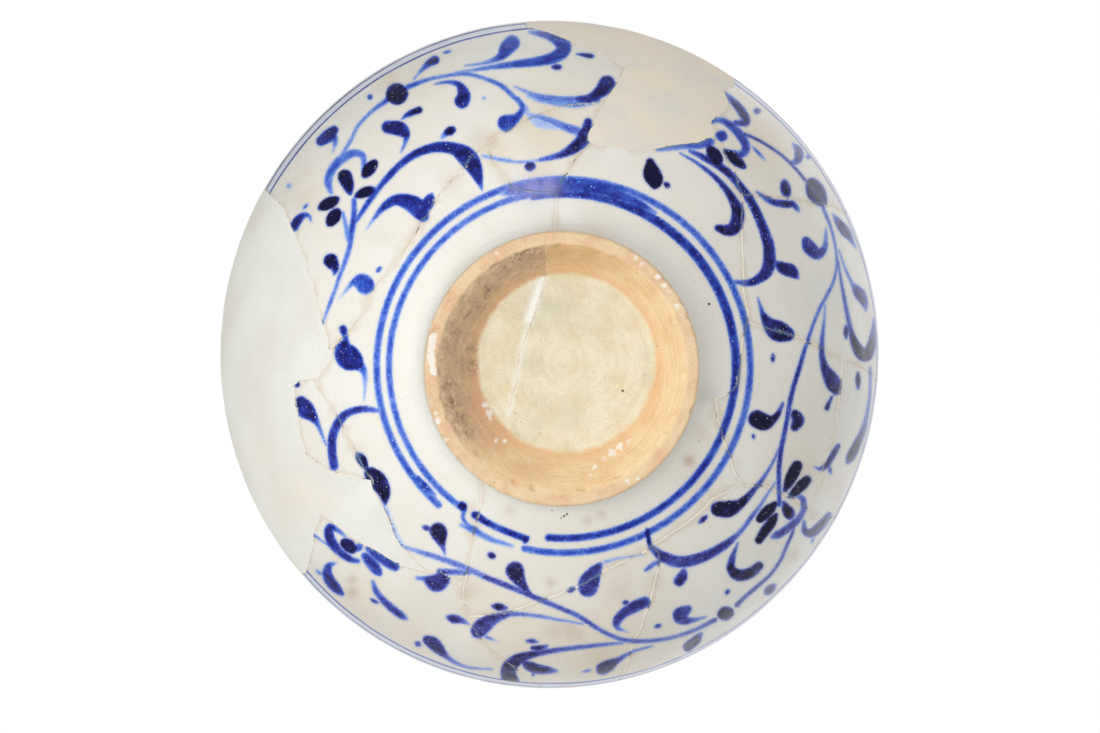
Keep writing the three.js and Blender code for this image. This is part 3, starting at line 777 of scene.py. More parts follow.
def worn(points, flat):
    """Points of the underside with its turning marks, the wear along the ring and a wavy glaze. All
    of it cuts into the wall."""
    way = np.hypot(*flat.T)
    clay = np.clip((way_at_radius(foot_radius) - way) / clay_fades, 0, 1)
    glazed = np.clip((way - way_at_height(wall_over_foot)) / glaze_wave_fades, 0, 1)
    turning = 2 * math.pi * way / turning_spacing + ripple(points, turning_waver, 30)
    clay_cut = turning_depth * (1 + np.sin(turning))
    for seed, (grain_size, grain_depth) in enumerate(clay_grain, 31):
        clay_cut += grain_depth * (1 + ripple(points, grain_size, seed))
    wave_size, wave_depth = glaze_waves
    glaze_cut = wave_depth * (1 + ripple(points, wave_size, 33))
    points = points + into_wall(points) * np.maximum(clay * clay_cut + glazed * glaze_cut, 0)[:, None]
    for edge_way, side in ring_edges:
        patches = np.clip(ripple(points, wear_patches, 34 + side) - wear_patch_begins, 0, 1)
        wear = (least_wear + more_wear * patches) * np.exp(-(((way - edge_way) / wear_reach) ** 2))
        points[:, :2] -= side * flat / np.maximum(way, 1e-9)[:, None] * wear[:, None]
        points[:, 2] += wear
    return points


def within(points, loop):
    """Which points lie within a closed loop: those whose row crosses it an odd number of times."""
    start, end = loop, np.roll(loop, -1, 0)
    y = points[:, 1][:, None]
    cut = (start[:, 1] <= y) != (end[:, 1] <= y)
    slope = (end[:, 0] - start[:, 0]) / np.where(end[:, 1] == start[:, 1], 1, end[:, 1] - start[:, 1])
    x = start[:, 0] + slope * (y - start[:, 1])
    return ((cut & (points[:, 0][:, None] < x)).sum(1) % 2) == 1


def grid_within(loop, spacing):
    """Points on a hexagonal grid within a closed loop."""
    low, high = loop.min(0), loop.max(0)
    kept = []
    for row, y in enumerate(np.arange(low[1], high[1], spacing * math.sqrt(3) / 2)):
        x = np.arange(low[0], high[0], spacing) + (row % 2) * spacing / 2
        points = np.column_stack([x, np.full(len(x), y)])
        kept.append(points[within(points, loop)])
    return np.vstack(kept)


def nearest(points, targets):
    """Each point's distance to the nearest target."""
    tree = search_tree(targets)
    return np.array([tree.find((x, y, 0))[2] for x, y in points])


def triangulated(loop, points):
    """The triangles of a flat piece: loop first, then the points within it."""
    places = [Vector(place) for place in np.vstack([loop, points])]
    made, _, faces, _, _, _ = delaunay_2d_cdt(places, [], [list(range(len(loop)))], 0, 1e-6, False)
    made, faces = np.array([tuple(place) for place in made]), np.array([tuple(face) for face in faces])
    between = np.flatnonzero((faces < len(loop)).all(1))
    beyond = between[~within(made[faces[between]].mean(1), loop)]
    return made, np.delete(faces, beyond, 0)


end_slide = 0.2


def drawn_in(loop, on_lip, amount):
    """The loop with each point moved inwards. A point on the lip slides along it instead."""
    after, before = np.roll(loop, -1, 0), np.roll(loop, 1, 0)
    along = after - before
    along /= np.maximum(np.hypot(*along.T), 1e-9)[:, None]
    moved = loop + np.column_stack([-along[:, 1], along[:, 0]]) * np.asarray(amount)[:, None]
    lip_start = on_lip & ~np.roll(on_lip, 1)
    lip_end = on_lip & ~np.roll(on_lip, -1)
    moved[on_lip] = loop[on_lip]
    moved[lip_start] = (1 - end_slide) * loop[lip_start] + end_slide * after[lip_start]
    moved[lip_end] = (1 - end_slide) * loop[lip_end] + end_slide * before[lip_end]
    way = np.hypot(*moved.T)
    return moved * np.where(on_lip, rim_way / way, 1)[:, None]


grid_outside = 0.3
grid_inside = 0.9
grid_inside_lip = 0.4
lip_band = 4
clear_outside = 0.45 * grid_outside
clear_inside = 0.5 * grid_inside_lip
half_gap = 0.03
face_rows = (0.12, 0.5)
sharp_angle = 50

chip_depth = 0.22
chip_lengths = (1.5, 5)
chip_begins = 0.9
corner_reach = 4
corner_cosines = (0.8, 0.95)

stroke_middles = flat_of(np.vstack([line[:, :2] for _, _, line in painting]))
lip_line_turns = np.arange(0, 2 * math.pi, grid_outside / mouth_radius)
lip_line_way = np.column_stack([np.cos(lip_line_turns), np.sin(lip_line_turns)])
lip_line_middles = np.vstack([
    way_at_height(lip_line_height(height, lip_line_way) + side * width / 2)[:, None] * lip_line_way
    for height, width, _, _ in lip_lines for side in (-1, 0, 1)
])
painted_middles = np.vstack([stroke_middles, lip_line_middles])


def chips_along(loop, seed):
    """How deep the edge is chipped at each point, from 0 to 1. There are no chips at its corners."""
    before, after = loop - np.roll(loop, corner_reach, 0), np.roll(loop, -corner_reach, 0) - loop
    cosine = (before * after).sum(1) / np.maximum(np.hypot(*before.T) * np.hypot(*after.T), 1e-9)
    chips = sum(ripple(loop, length, seed + step) for step, length in enumerate(chip_lengths))
    chips = np.clip(chips - chip_begins, 0, 1) * (np.hypot(*loop.T) > glaze_edge_way)
    return chips * np.interp(cosine, corner_cosines, (0, 1))


def broken_face(columns):
    """The faces between neighbouring columns of points round a piece, less what has no area."""
    faces = []
    for here, there in zip(columns.tolist(), np.roll(columns, -1, 0).tolist()):
        for corners in zip(here, there, there[1:], here[1:]):
            corners = tuple(dict.fromkeys(corners))
            if len(corners) > 2:
                faces.append(corners)
    return faces


def wall_piece(name, names, seed):
    """Makes one piece of the wall. It gives the object and, for each point, its place in
    millimetres, whether it is outside, its distance from a break, its chip and its flat place."""
    loop, on_lip = piece_loop(names)
    edge = drawn_in(loop, on_lip, np.full(len(loop), half_gap))
    chips = chips_along(loop, seed)
    chipped = drawn_in(loop, on_lip, half_gap + chip_depth * chips)
    torn = edge[~on_lip]

    brushed_points = painted_middles[within(painted_middles, chipped)]
    outer_points = np.vstack([grid_within(chipped, grid_outside), brushed_points])
    outer_points = outer_points[nearest(outer_points, chipped) > clear_outside]
    outer_flat, outer_faces = triangulated(chipped, outer_points)
    inner_points = grid_within(edge, grid_inside)
    inner_points = inner_points[np.hypot(*inner_points.T) < rim_way - lip_band]
    lip_points = grid_within(edge, grid_inside_lip)
    inner_points = np.vstack([inner_points, lip_points[np.hypot(*lip_points.T) >= rim_way - lip_band]])
    inner_points = inner_points[nearest(inner_points, edge) > clear_inside]
    inner_flat, inner_faces = triangulated(edge, inner_points)

    count = len(loop)
    outer = worn(outside_of(outer_flat), outer_flat)
    inner = inside_of(inner_flat)
    face_top, face_bottom = worn(outside_of(edge), edge), inner[:count]
    rows = [face_top + (face_bottom - face_top) * share for share in face_rows]
    points = np.vstack([outer, inner, *rows])
    columns = np.empty((count, len(rows) + 2), int)
    columns[:, 0] = np.arange(count)
    columns[:, -1] = len(outer) + np.arange(count)
    for row in range(len(rows)):
        columns[:, row + 1] = len(outer) + len(inner) + row * count + np.arange(count)
    columns[on_lip] = columns[on_lip][:, :1]
    faces = [tuple(face[::-1]) for face in outer_faces.tolist()]
    renamed = np.arange(len(inner)) + len(outer)
    renamed[:count][on_lip] = np.flatnonzero(on_lip)
    faces += [tuple(face) for face in renamed[inner_faces].tolist()]
    faces += broken_face(columns)
    used = np.zeros(len(points), bool)
    used[np.concatenate([np.array(face) for face in faces])] = True
    new_index = np.cumsum(used) - 1
    faces = [tuple(new_index[list(face)].tolist()) for face in faces]

    is_outside = (np.arange(len(points)) < len(outer))[used]
    from_break = np.zeros(len(points))
    from_break[:len(outer)] = nearest(outer_flat, torn)
    from_break[len(outer):len(outer) + len(inner)] = nearest(inner_flat, torn)
    in_chip = np.zeros(len(points))
    in_chip[:count] = chips
    flat = np.vstack([outer_flat, inner_flat] + [edge] * len(rows))

    mesh = bpy.data.meshes.new(name)
    mesh.from_pydata((points[used] * MM).tolist(), [], faces)
    mesh.polygons.foreach_set("use_smooth", [True] * len(mesh.polygons))
    mesh.set_sharp_from_angle(angle=math.radians(sharp_angle))
    return new_object(name, mesh), points[used], is_outside, from_break[used], in_chip[used], flat[used]


def give_attribute(mesh, name, values):
    layer = mesh.attributes.new(name, "FLOAT", "POINT")
    layer.data.foreach_set("value", np.asarray(values, np.float32))


# Soft marks of each kind: across, down and radius in pixels of the photograph, and strength
marks_of_age_and_painted_light = {
    # Stains are the bowl's own, but the last three, on the top wall of the recess, are painted shade
    "stain_and_painted_shade": [(551, 583, 5, 0.7), (570, 630, 9, 0.6), (689, 461, 6, 1.2), (793, 557, 8, 0.4),
        (352, 580, 5, 0.7), (352, 592, 6, 0.8), (450, 183, 12, 0.35), (478, 140, 12, 0.4),
        (420, 225, 10, 0.25), (600, 658, 14, 0.3), (557, 630, 12, 0.45), (566, 627, 9, 0.5),
        (578, 634, 7, 0.4), (620, 590, 16, 0.35), (510, 510, 6, 0.5), (587, 521, 5, 0.6),
        (601, 514, 5, 0.55), (471, 508, 8, 0.4), (300, 200, 16, 0.25), (385, 238, 8, 0.2),
        (690, 400, 9, 0.3), (700, 432, 8, 0.3), (655, 582, 10, 0.35), (700, 480, 18, 0.3),
        (805, 470, 14, 0.3), (470, 590, 10, 0.4), (490, 140, 8, 0.5), (560, 246, 22, 0.8),
        (590, 248, 20, 0.8), (615, 258, 14, 0.5)],
    # Warm tints of the glaze; the two just right of the foot are painted warm light thrown back into its
    # shadow
    "warm": [(545, 130, 40, 1.0), (500, 150, 22, 0.9), (540, 172, 20, 0.9), (600, 655, 60, 0.8),
        (520, 640, 50, 0.7), (480, 605, 35, 0.6), (420, 620, 40, 0.5), (360, 600, 34, 0.5),
        (760, 140, 40, 0.6), (700, 500, 30, 0.4), (800, 460, 30, 0.4), (620, 560, 40, 0.3),
        (660, 600, 26, 0.4), (700, 440, 26, 0.35), (310, 200, 26, 0.4), (420, 90, 34, 0.3),
        (484, 405, 18, 1.0), (494, 438, 16, 0.8), (530, 470, 16, 0.5), (340, 555, 10, 0.7),
        (390, 78, 9, 1.0), (378, 86, 6, 0.7), (303, 173, 8, 0.5)],
    "milky": [(516, 190, 12, 0.7), (532, 188, 14, 1.0), (548, 187, 12, 1.0)],
    # The first pale patch, just above the top of the foot, is a painted highlight
    "pale_and_painted_highlight": [(566, 213, 12, 0.9), (720, 600, 30, 0.3), (430, 180, 30, 0.3)],
    "grey": [(708, 395, 10, 0.9), (815, 300, 40, 0.35), (850, 400, 50, 0.4), (740, 240, 30, 0.25),
        (430, 600, 30, 0.35), (585, 150, 16, 0.3)],
    "smudge": [(470, 350, 5, 0.9), (474, 366, 7, 1.1), (455, 330, 8, 0.5), (487, 291, 6, 0.9),
        (478, 306, 7, 0.6), (532, 250, 12, 1.0), (518, 256, 9, 0.9), (504, 268, 8, 0.6),
        (449, 386, 7, 0.9), (453, 402, 8, 1.0), (460, 418, 8, 1.0), (468, 432, 7, 0.9),
        (446, 345, 7, 0.4), (468, 314, 6, 0.6), (484, 300, 4, 0.9)],
    "cloud": [(548, 308, 26, 0.9), (535, 368, 22, 0.5), (530, 425, 14, 0.5), (540, 400, 12, 0.4),
        (651, 352, 10, 0.7), (648, 378, 7, 0.7), (585, 385, 14, 0.3), (600, 300, 16, 0.3),
        (570, 415, 16, 0.35), (585, 320, 20, 0.3)],
    "flake": [*((431 + (down - 354) ** 2 / 120, down, 4.2, 1.4) for down in range(336, 374, 2)),
        (612, 453, 7, 0.9), (620, 447, 7, 0.9), (628, 441, 6, 0.8), (604, 459, 6, 0.8),
        (594, 467, 6, 0.8), (590, 475, 5, 0.7), (497, 254, 5, 0.8), (506, 249, 4, 0.8),
        (438, 421, 5, 1.0), (436, 414, 4, 0.9), (445, 440, 4, 1.0), (636, 258, 5, 0.8),
        (642, 264, 5, 0.8), (658, 277, 5, 0.9), (664, 285, 5, 0.9), (669, 293, 4, 0.8),
        (677, 306, 5, 0.9), (682, 316, 4, 0.8), (485, 405, 6, 0.9), (489, 413, 6, 1.0),
        (491, 419, 4, 0.9), (496, 441, 5, 0.9), (505, 441, 3, 1.1), (628, 482, 5, 0.9),
        (638, 478, 4, 0.9), (575, 500, 4, 0.8), (529, 461, 4, 0.8), (543, 246, 4, 0.6)],
    "glue": [*((549 - (down - 258) * 0.33, down, 4.5, 1.0) for down in range(258, 322, 2)),
        *((528 - (down - 322) * 0.21, down, 3.5, 0.45) for down in range(322, 432, 2))],
}
# Old dirt lies along the left of the foot: it sets in, is full, fades and ends at these degrees
dirt_turns = (128, 153, 260, 280)
dirt_elsewhere = 0.1


def soft_marks(places, marks):
    """How strongly each place is touched by any of the marks."""
    total = np.zeros(len(places))
    for across, down, radius, strength in marks:
        away = np.hypot(places[:, 0] - across, places[:, 1] - down) / radius
        total = np.maximum(total, strength * np.exp(-away**2))
    return total


def dress(piece, points, is_outside, from_break, in_chip, flat):
    """Lays the painting, the bare foot, the marks of age and some painted light and shade on a sherd's
    points.
    """
    normals = np.empty(len(points) * 3, np.float32)
    piece.data.vertices.foreach_get("normal", normals)
    sight = points - view_place
    facing = is_outside & ((normals.reshape(-1, 3) * sight).sum(1) < 0)
    edge, depth, hue = paint_on(points, facing)
    edge[~is_outside] = -paint_reach
    places = photo_of(points)
    turn = np.degrees(np.arctan2(places[:, 1] - ring_centre[1], places[:, 0] - ring_centre[0])) % 360
    dirt = np.interp(turn, dirt_turns, (0, 1, 1, 0))
    for name, values in {
        "paint_edge": edge, "paint_depth": depth, "paint_hue": hue, "from_break": from_break,
        "chip": in_chip, "way": np.where(is_outside, np.hypot(*flat.T), rim_way),
        "dirt": dirt * (1 if piece.name.startswith("base_left") else dirt_elsewhere),
        **{name: soft_marks(places, marks) * facing for name, marks in marks_of_age_and_painted_light.items()},
    }.items():
        give_attribute(piece.data, name, values)


def add(tree, kind, settings, inputs=()):
    """Adds a node, with its settings, and its inputs by name or number as values or links."""
    node = tree.nodes.new(kind)
    for name, value in settings.items():
        setattr(node, name, value)
    for name, value in dict(inputs).items():
        if isinstance(name, int):
            socket = node.inputs[name]
        else:
            socket = next(one for one in node.inputs if one.name == name and one.enabled)
        if isinstance(value, bpy.types.Node):
            value = next(one for one in value.outputs if one.enabled)
        if isinstance(value, bpy.types.NodeSocket):
            tree.links.new(value, socket)
        else:
            socket.default_value = value
    return node


def colour(text):
    """A colour from its sRGB hex value, in linear light."""
    shares = np.array([int(text[at:at + 2], 16) / 255 for at in (1, 3, 5)])
    return (*np.where(shares <= 0.04045, shares / 12.92, ((shares + 0.055) / 1.055) ** 2.4), 1)


def new_material(name):
    material = bpy.data.materials.new(name)
    material.use_nodes = True
    material.node_tree.nodes.clear()
    return material, material.node_tree


def finish_material(tree, look):
    """Ends a material: a surface with this look goes to its output."""
    shader = add(tree, "ShaderNodeBsdfPrincipled", {}, look)
    add(tree, "ShaderNodeOutputMaterial", {}, {"Surface": shader})


def layered(tree, base, layers):
    """Lays colours over a base, one after another. Each has the value that spreads it, where in that
    value's range it begins and is full, how strong it is then, a mask or None, and its colour."""
    for value, begins, full, strength, mask, shade in layers:
        share = add(tree, "ShaderNodeMapRange", {},
                    {"Value": value, "From Min": begins, "From Max": full, "To Max": strength})
        if mask is not None:
            share = add(tree, "ShaderNodeMath", {"operation": "MULTIPLY"}, {0: share, 1: mask})
        base = add(tree, "ShaderNodeMix", {"data_type": "RGBA"},
                   {"Factor": share, "A": base, "B": colour(shade) if isinstance(shade, str) else shade})
    return base


# Clear alkaline glaze on white fritware, fired over cobalt: glossy and a little uneven, white with
# warm and greenish clouds. The cobalt pools nearly black in thick strokes and runs blue at edges.
glaze, tree = new_material("clear_glaze_on_fritware")
place = add(tree, "ShaderNodeTexCoord", {}).outputs["Object"]
facts = ("paint_edge", "paint_depth", "paint_hue", "way", "dirt", "from_break", "chip", *marks_of_age_and_painted_light)
read = {name: add(tree, "ShaderNodeAttribute", {"attribute_name": name}).outputs["Fac"] for name in facts}
noise = {}
for name, size, detail, roughness in [
    ("clouds", 16, 4, 0.5), ("blotches", 4, 5, 0.6), ("seams", 2.5, 3, 0.5), ("brush", 0.45, 3, 0.5),
    ("pools", 1.8, 4, 0.5), ("scratches", 0.35, 5, 0.75), ("edges", 2, 3, 0.5), ("drift", 5, 2, 0.5),
    ("sand", 0.5, 6, 0.7), ("body", 3.5, 6, 0.5), ("streaks", 2.4, 8, 0.8), ("pits", 0.22, 2, 0.5),
    ("waves", 2.2, 3, 0.5),
]:
    noise[name] = add(tree, "ShaderNodeTexNoise", {},
                      {"Vector": place, "Scale": 1 / (size * MM), "Detail": detail, "Roughness": roughness})
seam_width = add(tree, "ShaderNodeMapRange", {},
                 {"Value": noise["seams"], "From Min": 0.4, "From Max": 0.7, "To Min": 0.3, "To Max": 2.0})
base = layered(tree, colour("#E9E8E0"), [
    (noise["clouds"], 0.38, 0.66, 1, None, "#E6E2D8"),
    (noise["blotches"], 0.45, 0.75, 0.5, None, "#E5DED1"),
    # warm glaze, and painted warm light in the foot's shadow
    (read["warm"], 0, 1, 0.75, None, "#E2D4BC"),
    (read["grey"], 0, 1, 0.8, None, "#CFCDC8"),
    # paler glaze, and a painted highlight just above the top of the foot
    (read["pale_and_painted_highlight"], 0, 1, 0.8, None, "#F4F1EC"),
    (noise["pits"], 0.68, 0.76, 0.45, None, "#A8937C"),
    # stains, and a little painted shade by the top of the foot
    (read["stain_and_painted_shade"], 0, 1.2, 0.66, None, "#B5967B"),
    (read["way"], glaze_edge_way + 4.5, glaze_edge_way, 0.7, None, "#E3D6B6"),
    (read["way"], glaze_edge_way + 1.6, glaze_edge_way + 0.5, 0.5, None, "#CDB897"),
    (read["from_break"], seam_width, 0, 0.38, None, "#C4AC8A"),
])

# The cobalt: a slightly uneven edge, a thin blue wash round it, and more depth in the middle
ragged = add(tree, "ShaderNodeMath", {"operation": "MULTIPLY_ADD"},
             {0: noise["brush"], 1: 0.16, 2: read["paint_edge"]})
cover = add(tree, "ShaderNodeMapRange", {"interpolation_type": "SMOOTHSTEP"},
            {"Value": ragged, "From Min": -0.08, "From Max": 0.2})
strength = add(tree, "ShaderNodeMapRange", {"interpolation_type": "SMOOTHSTEP"},
               {"Value": ragged, "From Min": 0.0, "From Max": 0.55, "To Min": 0.6, "To Max": 1.04})
for value, least, most in [(noise["pools"], 0.86, 1.1), (noise["brush"], 0.93, 1.06)]:
    uneven = add(tree, "ShaderNodeMapRange", {},
                 {"Value": value, "From Min": 0.35, "From Max": 0.65, "To Min": least, "To Max": most})
    strength = add(tree, "ShaderNodeMath", {"operation": "MULTIPLY"}, {0: strength, 1: uneven})
strength = add(tree, "ShaderNodeMath", {"operation": "MULTIPLY"}, {0: strength, 1: read["paint_depth"]})
cobalt = add(tree, "ShaderNodeValToRGB", {}, {"Fac": strength})
stops = [(0.0, "#DFE4EA"), (0.16, "#B4C8EC"), (0.34, "#6B90E0"), (0.52, "#3358C4"), (0.68, "#1F2E96"),
         (0.84, "#15175C"), (1.0, "#0B0A36")]
while len(cobalt.color_ramp.elements) < len(stops):
    cobalt.color_ramp.elements.new(0.5)
for element, (at, shade) in zip(cobalt.color_ramp.elements, stops):
    element.position = at
    element.color = colour(shade)
purple = add(tree, "ShaderNodeMath", {"operation": "MULTIPLY", "use_clamp": True},
             {0: read["paint_hue"], 1: -1.6})
dull = add(tree, "ShaderNodeHueSaturation", {},
           {"Hue": 0.51, "Saturation": 0.78, "Value": 1.0, "Color": cobalt})
cobalt = add(tree, "ShaderNodeMix", {"data_type": "RGBA"}, {"Factor": purple, "A": cobalt, "B": dull})
wash = add(tree, "ShaderNodeMapRange", {"interpolation_type": "SMOOTHSTEP"},
           {"Value": read["paint_edge"], "From Min": -0.5, "From Max": 0.05, "To Min": 0, "To Max": 0.42})
wash = add(tree, "ShaderNodeMath", {"operation": "MULTIPLY"}, {0: wash, 1: read["paint_depth"]})
base = add(tree, "ShaderNodeMix", {"data_type": "RGBA", "blend_type": "MULTIPLY"},
           {"Factor": wash, "A": base, "B": colour("#9FBDF0")})

# Where a break crosses a stroke the cobalt is scratched to a dull teal, and resin left on it is
# milky. Bubbles burst in the glaze over it and left pits of about 0.1 mm; their glints are painted in as
# pale specks.
near_break = add(tree, "ShaderNodeMapRange", {},
                 {"Value": read["from_break"], "From Min": seam_width, "From Max": 0, "To Max": 0.55})
scratched = add(tree, "ShaderNodeMath", {"operation": "ADD"}, {0: noise["scratches"], 1: near_break})
painted_glint_cells = add(tree, "ShaderNodeTexVoronoi", {}, {"Vector": place, "Scale": 1 / (0.38 * MM)})
painted_glint_size = add(tree, "ShaderNodeSeparateColor", {}, {"Color": painted_glint_cells.outputs["Color"]})
painted_glint_reach = add(tree, "ShaderNodeMapRange", {},
                   {"Value": painted_glint_size, "From Min": 0.6, "From Max": 1.0, "To Min": 0.0, "To Max": 0.23})
painted_glint = add(tree, "ShaderNodeMath", {"operation": "LESS_THAN"},
             {0: painted_glint_cells.outputs["Distance"], 1: painted_glint_reach})
base = layered(tree, base, [
    (cover, 0, 1, 1, None, cobalt),
    (scratched, 0.86, 1.04, 0.8, cover, "#4A76A4"),
    (read["milky"], 0, 1, 0.5, None, "#B9B6DF"),
    # pale specks: painted glints on the pits
    (painted_glint, 0, 1, 0.8, cover, "#D4E2F4"),
])

# The bare body of the foot: buff and sandy, streaked round by turning, its floor covered by a
# cream wash, with old dirt and pale lime on it
around = add(tree, "ShaderNodeSeparateXYZ", {}, {"Vector": place}).outputs
flat_place = add(tree, "ShaderNodeCombineXYZ", {}, {"X": around["X"], "Y": around["Y"]})
radius = add(tree, "ShaderNodeVectorMath", {"operation": "LENGTH"}, {0: flat_place}).outputs["Value"]
streak_width = 0.42 * MM
ring_place = add(tree, "ShaderNodeCombineXYZ", {}, {
    axis: add(tree, "ShaderNodeMath", {"operation": "MULTIPLY"}, {0: value, 1: scale})
    for axis, value, scale in [
        ("X", radius, 1 / streak_width), ("Y", noise["drift"], 9.0), ("Z", around["Z"], 1 / streak_width),
    ]
})
turned = add(tree, "ShaderNodeTexNoise", {},
             {"Vector": ring_place, "Scale": 1.0, "Detail": 4, "Roughness": 0.6})
wavy_way = add(tree, "ShaderNodeMath", {"operation": "MULTIPLY_ADD"},
               {0: noise["edges"], 1: 0.8, 2: read["way"]})
lime = add(tree, "ShaderNodeMath", {"operation": "MULTIPLY"}, {0: read["flake"], 1: noise["sand"]})
wall_edge = way_at_radius(ring_inner_radius) + 0.5
floor_edge = way_at_radius(recess_floor_radius)
dirt_tone = layered(tree, colour("#D9B892"), [
    (noise["streaks"], 0.42, 0.66, 0.8, None, "#B59A7C"),
    (turned, 0.5, 0.7, 0.5, None, "#A58A70"),
    (noise["sand"], 0.52, 0.7, 0.5, None, "#97806A"),
])
wall_body = layered(tree, colour("#EACDA2"), [
    (noise["body"], 0.42, 0.6, 1, None, "#E5C193"),
    (turned, 0.5, 0.68, 0.3, None, "#D7A877"),
    (turned, 0.5, 0.34, 0.3, None, "#F1E0BF"),
    (read["way"], floor_edge + 1.3, floor_edge, 0.5, None, "#DDAD7E"),
    (noise["streaks"], -0.3, 0.5, 1, read["dirt"], dirt_tone),
    (read["way"], floor_edge + 2, floor_edge, 0.6, read["dirt"], "#D3A67D"),
    (read["warm"], 0, 1, 0.75, None, "#D8A680"),
    # stains, and painted shade on the top wall of the recess
    (read["stain_and_painted_shade"], 0, 1, 1, None, "#C79F6C"),
    (noise["sand"], 0.38, 0.64, 0.85, read["smudge"], "#70594A"),
])
floor_body = layered(tree, colour("#E8DDC2"), [
    (noise["body"], 0.4, 0.62, 1, None, "#DFD0AC"),
    (noise["body"], 0.15, 0.6, 1, read["cloud"], "#CFC9B4"),
    (noise["sand"], 0.45, 0.7, 0.3, None, "#D6C6A0"),
    (read["glue"], 0, 0.9, 0.9, None, "#F3F2EA"),
])
body = layered(tree, colour("#E4C69F"), [
    (noise["body"], 0.45, 0.6, 1, None, "#DDB48F"),
    (noise["sand"], 0.5, 0.7, 0.5, None, "#EFDDC0"),
    (read["way"], wall_edge + 0.12, wall_edge - 0.12, 1, None, wall_body),
    (wavy_way, floor_edge + 0.1, floor_edge - 0.5, 1, None, floor_body),
    (lime, 0.28, 0.42, 0.85, None, "#F3ECE2"),
    (noise["pits"], 0.66, 0.74, 0.6, None, "#93725A"),
])
bare = add(tree, "ShaderNodeMapRange", {},
           {"Value": wavy_way, "From Min": glaze_edge_way + 0.55, "From Max": glaze_edge_way + 0.3})
base = layered(tree, base, [(bare, 0, 1, 1, None, body), (read["chip"], 0, 1, 1, None, "#EFE6D6")])

near_foot = add(tree, "ShaderNodeMapRange", {},
                {"Value": read["way"], "From Min": glaze_edge_way + 4.5, "From Max": glaze_edge_way})
rough = add(tree, "ShaderNodeMapRange", {},
            {"Value": noise["blotches"], "From Min": 0.3, "From Max": 0.7, "To Min": 0.2, "To Max": 0.34})
for share, full in [(near_foot, 0.5), (bare, 0.85)]:
    rough = add(tree, "ShaderNodeMix", {"data_type": "FLOAT"}, {"Factor": share, "A": rough, "B": full})
relief = add(tree, "ShaderNodeMix", {"data_type": "FLOAT"},
             {"Factor": bare, "A": noise["waves"], "B": noise["sand"]})
relief_size = add(tree, "ShaderNodeMapRange", {}, {"Value": bare, "To Min": 0.03 * MM, "To Max": 0.12 * MM})
bump = add(tree, "ShaderNodeBump", {}, {"Strength": 1.0, "Distance": relief_size, "Height": relief})
finish_material(tree, {"Base Color": base, "Roughness": rough, "Normal": bump, "IOR": 1.5})

sherds = {
    "upper_left_sherd": ["upper_fill_left", "tan_rim_side", "upper_left", "-left_fill_top"],
    "upper_middle_sherd": ["tan_fill_side", "-tan_right_side", "-tan_band_side", "-tan_left_side",
        "-tan_rim_side"],
    "base_left_sherd": ["tan_left_side", "tan_band_side", "foot_crack", "-fill_tip", "-left_fill_base",
        "-small_sherd", "-left_fill_nose", "-upper_left"],
    "small_left_sherd": ["small_sherd", "-left_fill_small"],
    "lower_left_sherd": ["-left_fill_lower", "fill_tip", "foot_crack_end", "bottom_left_branch"],
    "bottom_sherd": ["-bottom_left_branch", "-bottom_left", "bottom_branch"],
    "base_right_sherd": ["tan_right_side", "upper_fill_base", "upper_right", "right", "right_bend",
        "lower_right", "bottom", "bottom_left", "-foot_crack_end", "-foot_crack"],
    "upper_right_sherd": ["-upper_fill_right", "upper_right", "upper_right_branch"],
    "right_upper_sherd": ["-upper_right_branch", "right", "right_branch", "right_branch_end"],
    "right_middle_sherd": ["right_branch", "right_edge", "-lower_right_branch", "-lower_right",
        "-right_bend"],
    "right_edge_sherd": ["-right_branch_end", "right_edge", "lower_right_end"],
    "lower_right_sherd": ["-lower_right_end", "-lower_right_branch", "bottom", "bottom_branch"],
}
for seed, (name, names) in enumerate(sherds.items(), 100):
    sherd, *of_points = wall_piece(name, names, seed)
    dress(sherd, *of_points)
    sherd.data.materials.append(glaze)
    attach(sherd, "root")
    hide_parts(name)


# The plaster fills
# The lost areas of the wall are made up in tinted plaster of Paris, cast against the sherds and
# sanded back flush with them, then left matt.
plaster, tree = new_material("tinted_plaster_of_paris")
place = add(tree, "ShaderNodeTexCoord", {}).outputs["Object"]
warm = add(tree, "ShaderNodeAttribute", {"attribute_name": "warm"}).outputs["Fac"]
clouds = add(tree, "ShaderNodeTexNoise", {}, {"Vector": place, "Scale": 1 / (11 * MM), "Detail": 5})
patches = add(tree, "ShaderNodeTexNoise", {}, {"Vector": place, "Scale": 1 / (6 * MM), "Detail": 3})
grain = add(tree, "ShaderNodeTexNoise", {}, {"Vector": place, "Scale": 1 / (0.6 * MM), "Detail": 4})
base = layered(tree, colour("#E5E5DE"), [
    (clouds, 0.4, 0.65, 1, None, "#DEDCD3"),
    (warm, 0, 1, 1, None, "#E6DDCD"),
    (patches, 0.46, 0.7, 0.6, warm, "#ECDFC8"),
    (patches, 0.54, 0.3, 0.7, warm, "#DDD9D0"),
    (grain, 0.55, 0.75, 0.25, None, "#C9C5B7"),
])
bump = add(tree, "ShaderNodeBump", {}, {"Strength": 1.0, "Distance": 0.03 * MM, "Height": grain})
finish_material(tree, {"Base Color": base, "Roughness": 0.75, "Normal": bump})

fills = {
    "plaster_fill_left": (0.0, ["left_fill_top", "left_fill_nose", "left_fill_small", "left_fill_base",
        "left_fill_lower"]),
    "plaster_fill_upper_right": (1.0, ["upper_fill_left", "tan_fill_side", "upper_fill_base",
        "upper_fill_right"]),
}
warm_patches = [(292, 500, 24, 0.6), (262, 452, 18, 0.35), (322, 505, 14, 0.4)]
for seed, (name, (warmth, names)) in enumerate(fills.items(), 200):
    fill, points, *_ = wall_piece(name, names, seed)
    give_attribute(fill.data, "warm", np.maximum(warmth, soft_marks(photo_of(points), warm_patches)))
    fill.data.materials.append(plaster)
    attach(fill, "root")
    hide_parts(name)


